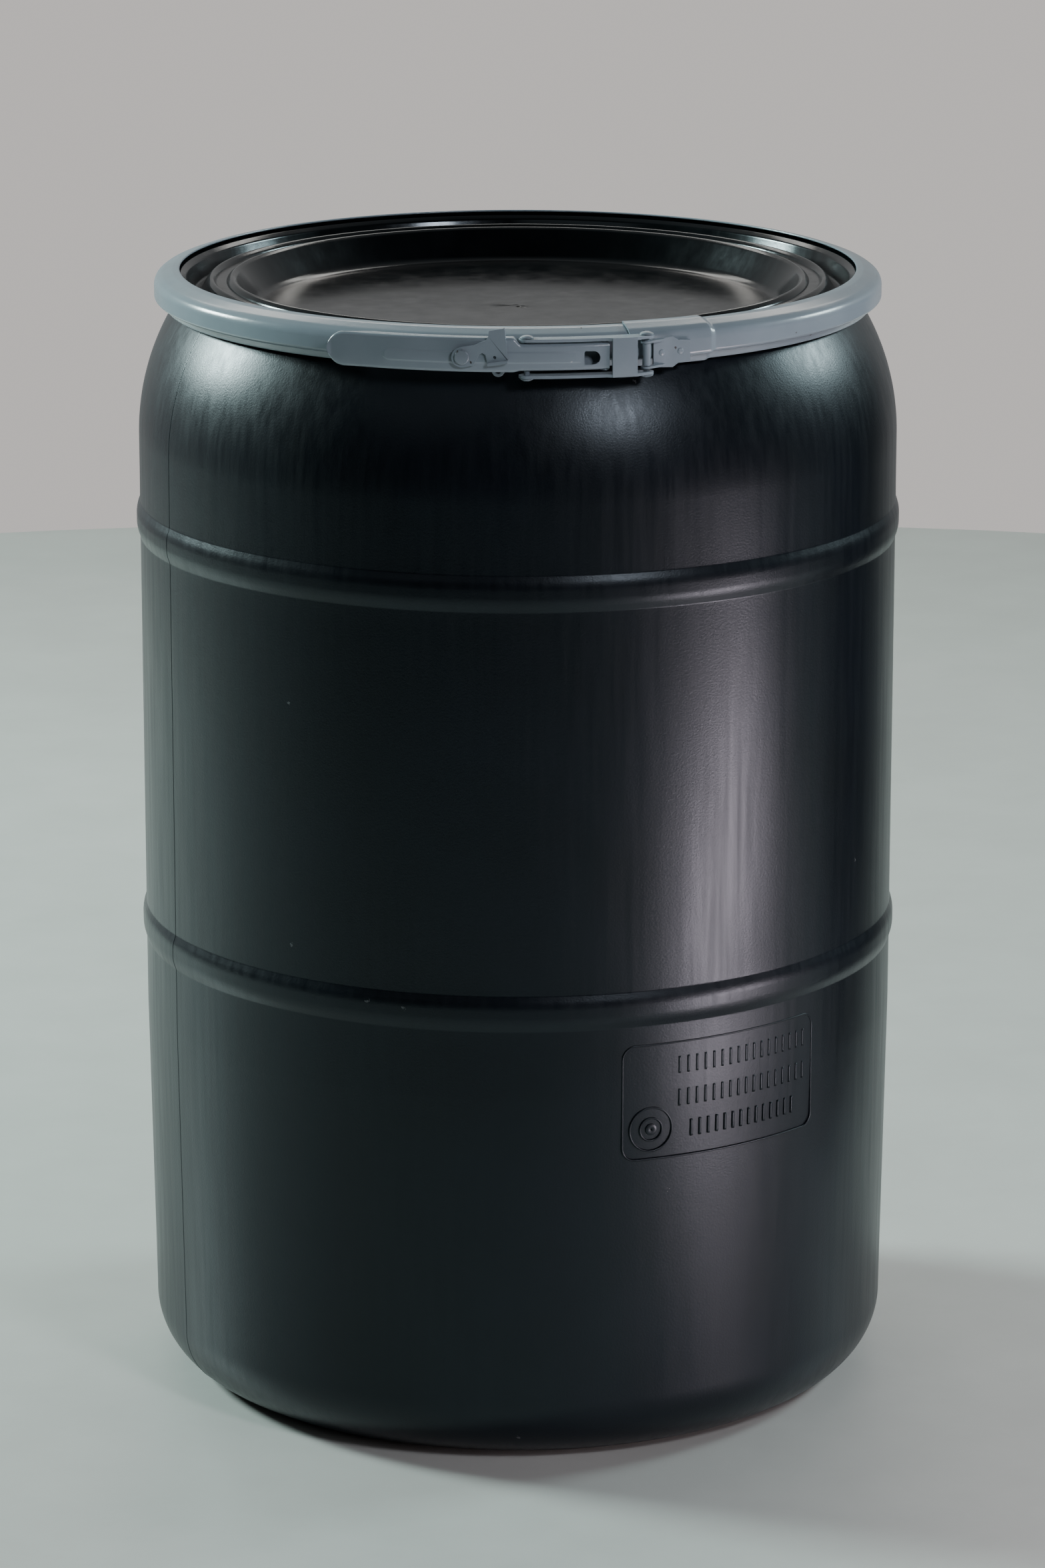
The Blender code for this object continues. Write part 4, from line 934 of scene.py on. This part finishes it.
def lever_grid(given, station):
    """Points of the lever: a C section carried round the drum, its sizes functions of the arc length.

    Half the height follows a half circle at the thumb tab and steps down at the nose, the depth
    grows out of the flat tab, the rib fades in and out, and the tab's flare dies away.
    """
    outer, inner = lever_template(given)
    section = np.concatenate((outer, mirrored(outer)[1:], mirrored(inner), inner[1:]))
    grip = (given.grip_high - given.grip_low) / 2
    nose = (given.nose_high - given.nose_low) / 2
    s = station[:, None]
    from_tip = np.clip((s - given.tip) / grip, 0.0, 1.0)
    tab = np.sqrt(np.clip(1 - (1 - from_tip) ** 2.4, 0.004, 1.0))
    step = smooth_step(*NOSE_STEP, s)
    half = (grip * tab) * (1 - step) + nose * step
    middle = ((given.grip_high + given.grip_low) / 2 * (1 - step)
              + (given.nose_high + given.nose_low) / 2 * step)
    folded = smooth_step(given.tip + 0.010, given.tip + 0.027, s)
    shallow = given.sheet + 0.0010
    depth = shallow + (given.face - given.flange - shallow) * folded
    past = np.clip((s - (given.nose - NOSE_ROUND)) / NOSE_ROUND, 0.0, 1.0)
    depth = depth - NOSE_ROUND * (1 - np.sqrt(1 - past ** 2 * 0.98)) * 0.75
    rib = given.rib * smooth_step(RIB_START, RIB_START + 0.0016, s)
    rib = rib * (1 - smooth_step(given.slot_start - 0.0055, given.slot_start - 0.0012, s))
    narrow = smooth_step(-0.0812, -0.0772, s)
    flare = given.flare * (1 - smooth_step(given.tip, given.tip + 0.030, s)) ** 1.5
    full_bend = 0.0042
    scale = np.minimum(1.0, half / full_bend)
    share_half, offset = section[None, :, 0], section[None, :, 1]
    is_rib = section[None, :, 0] == 0
    height = np.where(is_rib, RIB_MIDDLE + offset * np.minimum(scale, 0.35 + 0.65 * narrow),
                      middle + share_half * half + offset * scale)
    height = np.where(is_rib & (scale < 1), middle + offset * scale, height)
    radius = (given.face - section[None, :, 2] * depth + section[None, :, 3] + section[None, :, 4] * rib
              + flare)
    rolled = 0.0011 * np.exp(-((s - given.tip) / 0.0016) ** 2)
    radius = radius + rolled
    angle = s / BAND_RADIUS
    return placed(radius, angle, height)


def cut(thing, cutter):
    """Take one piece's volume out of another and drop the cutter."""
    tool = thing.modifiers.new("cut", "BOOLEAN")
    tool.operation = "DIFFERENCE"
    tool.solver = "EXACT"
    tool.object = cutter
    with bpy.context.temp_override(object=thing, active_object=thing, selected_objects=[thing]):
        bpy.ops.object.modifier_apply(modifier=tool.name)
    bpy.data.objects.remove(cutter, do_unlink=True)


def plug(outline, inner, outer, arc):
    """A cutter: a closed outline of (sideways, height) pushed outwards between two radii at an arc."""
    turn = arc / BAND_RADIUS
    side = np.array((math.cos(turn), math.sin(turn), 0.0))
    out = np.array((math.sin(turn), -math.cos(turn), 0.0))
    rings = []
    for radius in (inner, outer):
        rings.append(out * radius + side * outline[:, :1] + np.array((0, 0, 1.0)) * outline[:, 1:])
    return surface("cutter", [(np.stack(rings), False, True, True)], None, cutter_finish(), 30.0)


def cutter_finish():
    """A plain material for cutters; the cut piece is painted afresh afterwards."""
    name = "cutter"
    return bpy.data.materials.get(name) or bpy.data.materials.new(name)


class DRUM_OT_lever(bpy.types.Operator):
    """Make the over-centre lever"""

    bl_idname = "drum.lever"
    bl_label = "Lever"

    def execute(self, context):
        given = context.scene.drum_lever
        tab = np.linspace(0, 1, 16, endpoint=False) ** 1.7 * 0.012 + given.tip
        step_start, step_end = NOSE_STEP
        nose = given.nose - NOSE_ROUND
        station = np.concatenate((tab, np.linspace(given.tip + 0.012, step_start, 110, endpoint=False),
                                  np.linspace(step_start, step_end, 6, endpoint=False),
                                  np.linspace(step_end, nose, 36, endpoint=False),
                                  nose + NOSE_ROUND * np.sin(np.linspace(0, 0.5 * math.pi, 6))))
        grid = lever_grid(given, station)
        thing = surface("closing_lever", [(grid, False, True, True)], "lever", band_finish(), 40.0)
        half = given.slot_height / 2
        t = np.linspace(-0.5 * math.pi, 0.5 * math.pi, 14)
        right = given.slot_length / 2 - half
        corner = 0.0009
        c = np.linspace(0.5 * math.pi, math.pi, 5)
        outline = np.concatenate((
            np.stack((right + half * np.cos(t), given.slot_middle + half * np.sin(t)), axis=1),
            np.stack((-given.slot_length / 2 + corner + corner * np.cos(c),
                      given.slot_middle + half - corner + corner * np.sin(c)), axis=1),
            np.stack((-given.slot_length / 2 + corner + corner * np.cos(c + 0.5 * math.pi),
                      given.slot_middle - half + corner + corner * np.sin(c + 0.5 * math.pi)), axis=1)))
        slot_arc = given.slot_start + given.slot_length / 2
        cut(thing, plug(outline, given.face - 0.0045, given.face + 0.004, slot_arc))
        settle(thing, None, band_finish(), 40.0, 1e-6)
        soften(thing, 0.00022, 2, 50.0)
        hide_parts("lever")
        return {"FINISHED"}


class DRUM_OT_link(bpy.types.Operator):
    """Make the link that draws the band shut"""

    bl_idname = "drum.link"
    bl_label = "Link"

    def execute(self, context):
        refined("link", "drawing_link", "link", band_finish(), 0.0007, 4)
        return {"FINISHED"}


class DRUM_OT_brackets(bpy.types.Operator):
    """Make the brackets, the hinge barrel and pins, and the eye for a seal"""

    bl_idname = "drum.brackets"
    bl_label = "Brackets"

    def execute(self, context):
        finish, rivet = band_finish(), rivet_finish()
        refined("left_bracket", "fulcrum_bracket", "band_left", finish, 0.0003)
        refined("seal_eye", "seal_eye_plate", "band_left", finish, 0.0004)
        refined("right_bracket", "anchor_bracket", "band_right", finish, 0.0004)
        refined("hinge_barrel", "anchor_barrel", "band_right", finish, 0.0003)
        refined("hinge_pin", "anchor_pin", "band_right", rivet, 0.0003)
        refined("fulcrum_pin", "lever_pin", "lever", rivet, 0.0002)
        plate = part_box("right_bracket")
        middle = (plate[0].z + plate[1].z) / 2
        bump = rounded([(0.0, 0.0008), (0.5, 0.00075), (0.8, 0.0003), (1.0, -0.0004), (0.0, -0.0006)],
                       [0, 0.3, 0.3, 0, 0], 4)
        for name, arc in (("weld_dimple_left", 0.0886), ("weld_dimple_right", 0.1010)):
            turn = arc / BAND_RADIUS
            out = (math.sin(turn), -math.cos(turn), 0.0)
            centre = tuple(BAND_RADIUS * c for c in out[:2]) + (middle,)
            domed(name, 0.0024, "band_right", finish, centre, out, 0.0032, bump, 28)
        return {"FINISHED"}


class DRUM_OT_rivets(bpy.types.Operator):
    """Make the rivets of the link and of the latch"""

    bl_idname = "drum.rivets"
    bl_label = "Rivets"

    def execute(self, context):
        finish = rivet_finish()
        for cad, name, body in (("link_rivet_upper", "pivot_rivet_upper", "lever"),
                                ("link_rivet_lower", "pivot_rivet_lower", "lever"),
                                ("end_rivet_upper", "anchor_rivet_upper", "link"),
                                ("end_rivet_lower", "anchor_rivet_lower", "link"),
                                ("latch_rivet", "latch_rivet_head", "lever")):
            refined(cad, name, body, finish, 0.00035, 3)
        return {"FINISHED"}


class DRUM_OT_latch(bpy.types.Operator):
    """Make the safety latch"""

    bl_idname = "drum.latch"
    bl_label = "Safety latch"

    def execute(self, context):
        refined("safety_latch", "latch_plate", "latch", band_finish(), 0.00032, 3)
        return {"FINISHED"}


# ------------------------------------------------------------------ stage

def soft_light(name, place, target, width, height, power, tint):
    """A wide lamp that looks at a point."""
    lamp = bpy.data.lights.new(name, "AREA")
    lamp.shape = "RECTANGLE"
    lamp.size, lamp.size_y = width, height
    lamp.energy = power
    lamp.color = tint
    thing = bpy.data.objects.new(name, lamp)
    bpy.context.scene.collection.objects.link(thing)
    thing.location = place
    thing.rotation_euler = (Vector(target) - Vector(place)).to_track_quat("-Z", "Z").to_euler()
    thing.visible_camera = False
    return thing


def background(given):
    """Pale to look at; in reflections pale behind and at the sides, dark in front and overhead."""
    world = bpy.data.worlds.new("studio")
    bpy.context.scene.world = world
    world.use_nodes = True
    tree = world.node_tree
    shader = tree.nodes["Background"]
    split = node(tree, "SeparateXYZ")
    feed(tree, node(tree, "TexCoord").outputs["Generated"], split.inputs[0])
    behind = ranged(tree, split.outputs["Y"], -0.15, 0.9, 0.004, 0.36)
    seen = node(tree, "LightPath").outputs["Is Camera Ray"]
    feed(tree, laid_over(tree, seen, behind, given.wall), shader.inputs["Color"])
    shader.inputs["Strength"].default_value = given.brightness


class DRUM_OT_stage(bpy.types.Operator):
    """Make the floor, the background, the lights and the camera"""

    bl_idname = "drum.stage"
    bl_label = "Stage"

    def execute(self, context):
        given = context.scene.drum_stage
        background(given)
        ring = np.linspace(0, 2 * math.pi, 96, endpoint=False)[:, None]
        reach = np.array([0.0, 0.4, 0.8, 1.4, 2.0, 2.6])[None, :]
        floor = surface("floor", [(placed(reach, ring, -0.0002 + 0 * reach), True, False, False)], None,
                        self.floor_finish(given), 30.0)
        if floor.data.polygons[0].normal.z < 0:
            floor.data.flip_normals()
        lights = (
            ("low_right", (0.93, -0.60, 0.12), (0.14, -0.18, 0.30), 0.16, 0.52, 7.0, (1.0, 0.80, 0.86)),
            ("window_right", (2.6, 1.0, 1.75), (0.1, 0.0, 0.55), 0.55, 0.8, 44.0, (0.78, 0.97, 1.0)),
            ("window_left", (-2.6, 1.0, 1.75), (-0.1, 0.0, 0.55), 0.6, 0.7, 150.0, (0.80, 1.0, 0.98)),
            ("soft_right", (1.45, -2.35, 2.10), (0.0, -0.2, 0.65), 0.50, 0.50, 34.0, (0.93, 0.92, 1.0)),
            ("far_wash", (0.0, 2.2, 2.4), (0.0, 1.2, 0.0), 3.2, 0.6, 26.0, (1.0, 0.95, 0.88)),
            ("front_fill", (-1.2, -2.6, 2.6), (0.0, 0.0, 0.5), 2.4, 1.6, 4.0, (0.92, 0.97, 1.0)),
        )
        for name, place, target, width, height, power, tint in lights:
            soft_light(name, place, target, width, height, power * given.brightness, tint)
        card = np.array([[[0.60, -0.02, 0.0], [0.60, -0.02, 0.8]], [[1.05, 1.10, 0.0], [1.05, 1.10, 0.8]]])
        flag = surface("flag", [(card, False, False, False)], None, self.card_finish(), 30.0)
        flag.visible_camera = flag.visible_diffuse = flag.visible_shadow = False
        lens = bpy.data.cameras.new("camera")
        lens.lens, lens.sensor_width = 136.6, 36.0
        camera = bpy.data.objects.new("camera", lens)
        context.scene.collection.objects.link(camera)
        camera.location = (0.003, -3.787, 1.3888)
        camera.rotation_euler = (math.radians(75.196), 0.0, 0.0)
        context.scene.camera = camera
        return {"FINISHED"}

    @staticmethod
    def card_finish():
        """A matt black card beside the drum, which only shows as a dark reflection."""
        material, _, shader = blank("black card")
        shader.inputs["Base Color"].default_value = (0.01, 0.01, 0.01, 1)
        shader.inputs["Roughness"].default_value = 1.0
        shader.inputs["Specular IOR Level"].default_value = 0.0
        return material

    @staticmethod
    def floor_finish(given):
        """Painted concrete: pale, a little uneven in tone and gloss."""
        material, tree, shader = blank("floor paint")
        uneven = placed_group(tree, grain_group(), {"Grain size": 90.0, "Grain depth": 0.6,
                                                    "Streak size": 3.0, "Streak depth": 0.3})
        tones = toned(tree, given.floor, uneven["Mottle"], 0.25, 0.8, 0.93, 1.05)
        feed(tree, tones, shader.inputs["Base Color"])
        shader.inputs["Roughness"].default_value = 0.42
        bumped(tree, shader, uneven["Height"], 0.25, 0.0006)
        return material


# ------------------------------------------------------------------ sidebar

PIECES = (DRUM_OT_body, DRUM_OT_marks, DRUM_OT_lid, DRUM_OT_band, DRUM_OT_brackets, DRUM_OT_lever,
          DRUM_OT_link, DRUM_OT_rivets, DRUM_OT_latch, DRUM_OT_stage)
SETTINGS = (("drum_body", DrumBodySettings), ("drum_marks", MarkSettings), ("drum_lid", LidSettings),
            ("drum_band", BandSettings), ("drum_lever", LeverSettings), ("drum_stage", StageSettings))


class DRUM_PT_pieces(bpy.types.Panel):
    """The drum's pieces and their settings"""

    bl_idname = "DRUM_PT_pieces"
    bl_label = "Drum"
    bl_space_type = "VIEW_3D"
    bl_region_type = "UI"
    bl_category = "Drum"

    def draw(self, context):
        for piece in PIECES:
            self.layout.operator(piece.bl_idname)
        for place, kind in SETTINGS:
            box = self.layout.box()
            box.label(text=kind.__doc__)
            for setting in kind.__annotations__:
                box.prop(getattr(context.scene, place), setting)


def register():
    """Make the settings, the operators and the panel known."""
    for place, kind in SETTINGS:
        bpy.utils.register_class(kind)
        setattr(bpy.types.Scene, place, bpy.props.PointerProperty(type=kind))
    for kind in (*PIECES, DRUM_PT_pieces):
        bpy.utils.register_class(kind)


def unregister():
    """Take them all away again."""
    for kind in (DRUM_PT_pieces, *reversed(PIECES)):
        bpy.utils.unregister_class(kind)
    for place, kind in reversed(SETTINGS):
        delattr(bpy.types.Scene, place)
        bpy.utils.unregister_class(kind)


def main():
    """Make every piece."""
    register()
    for piece in PIECES:
        area, name = piece.bl_idname.split(".")
        getattr(getattr(bpy.ops, area), name)()


if __name__ == "__main__":
    main()
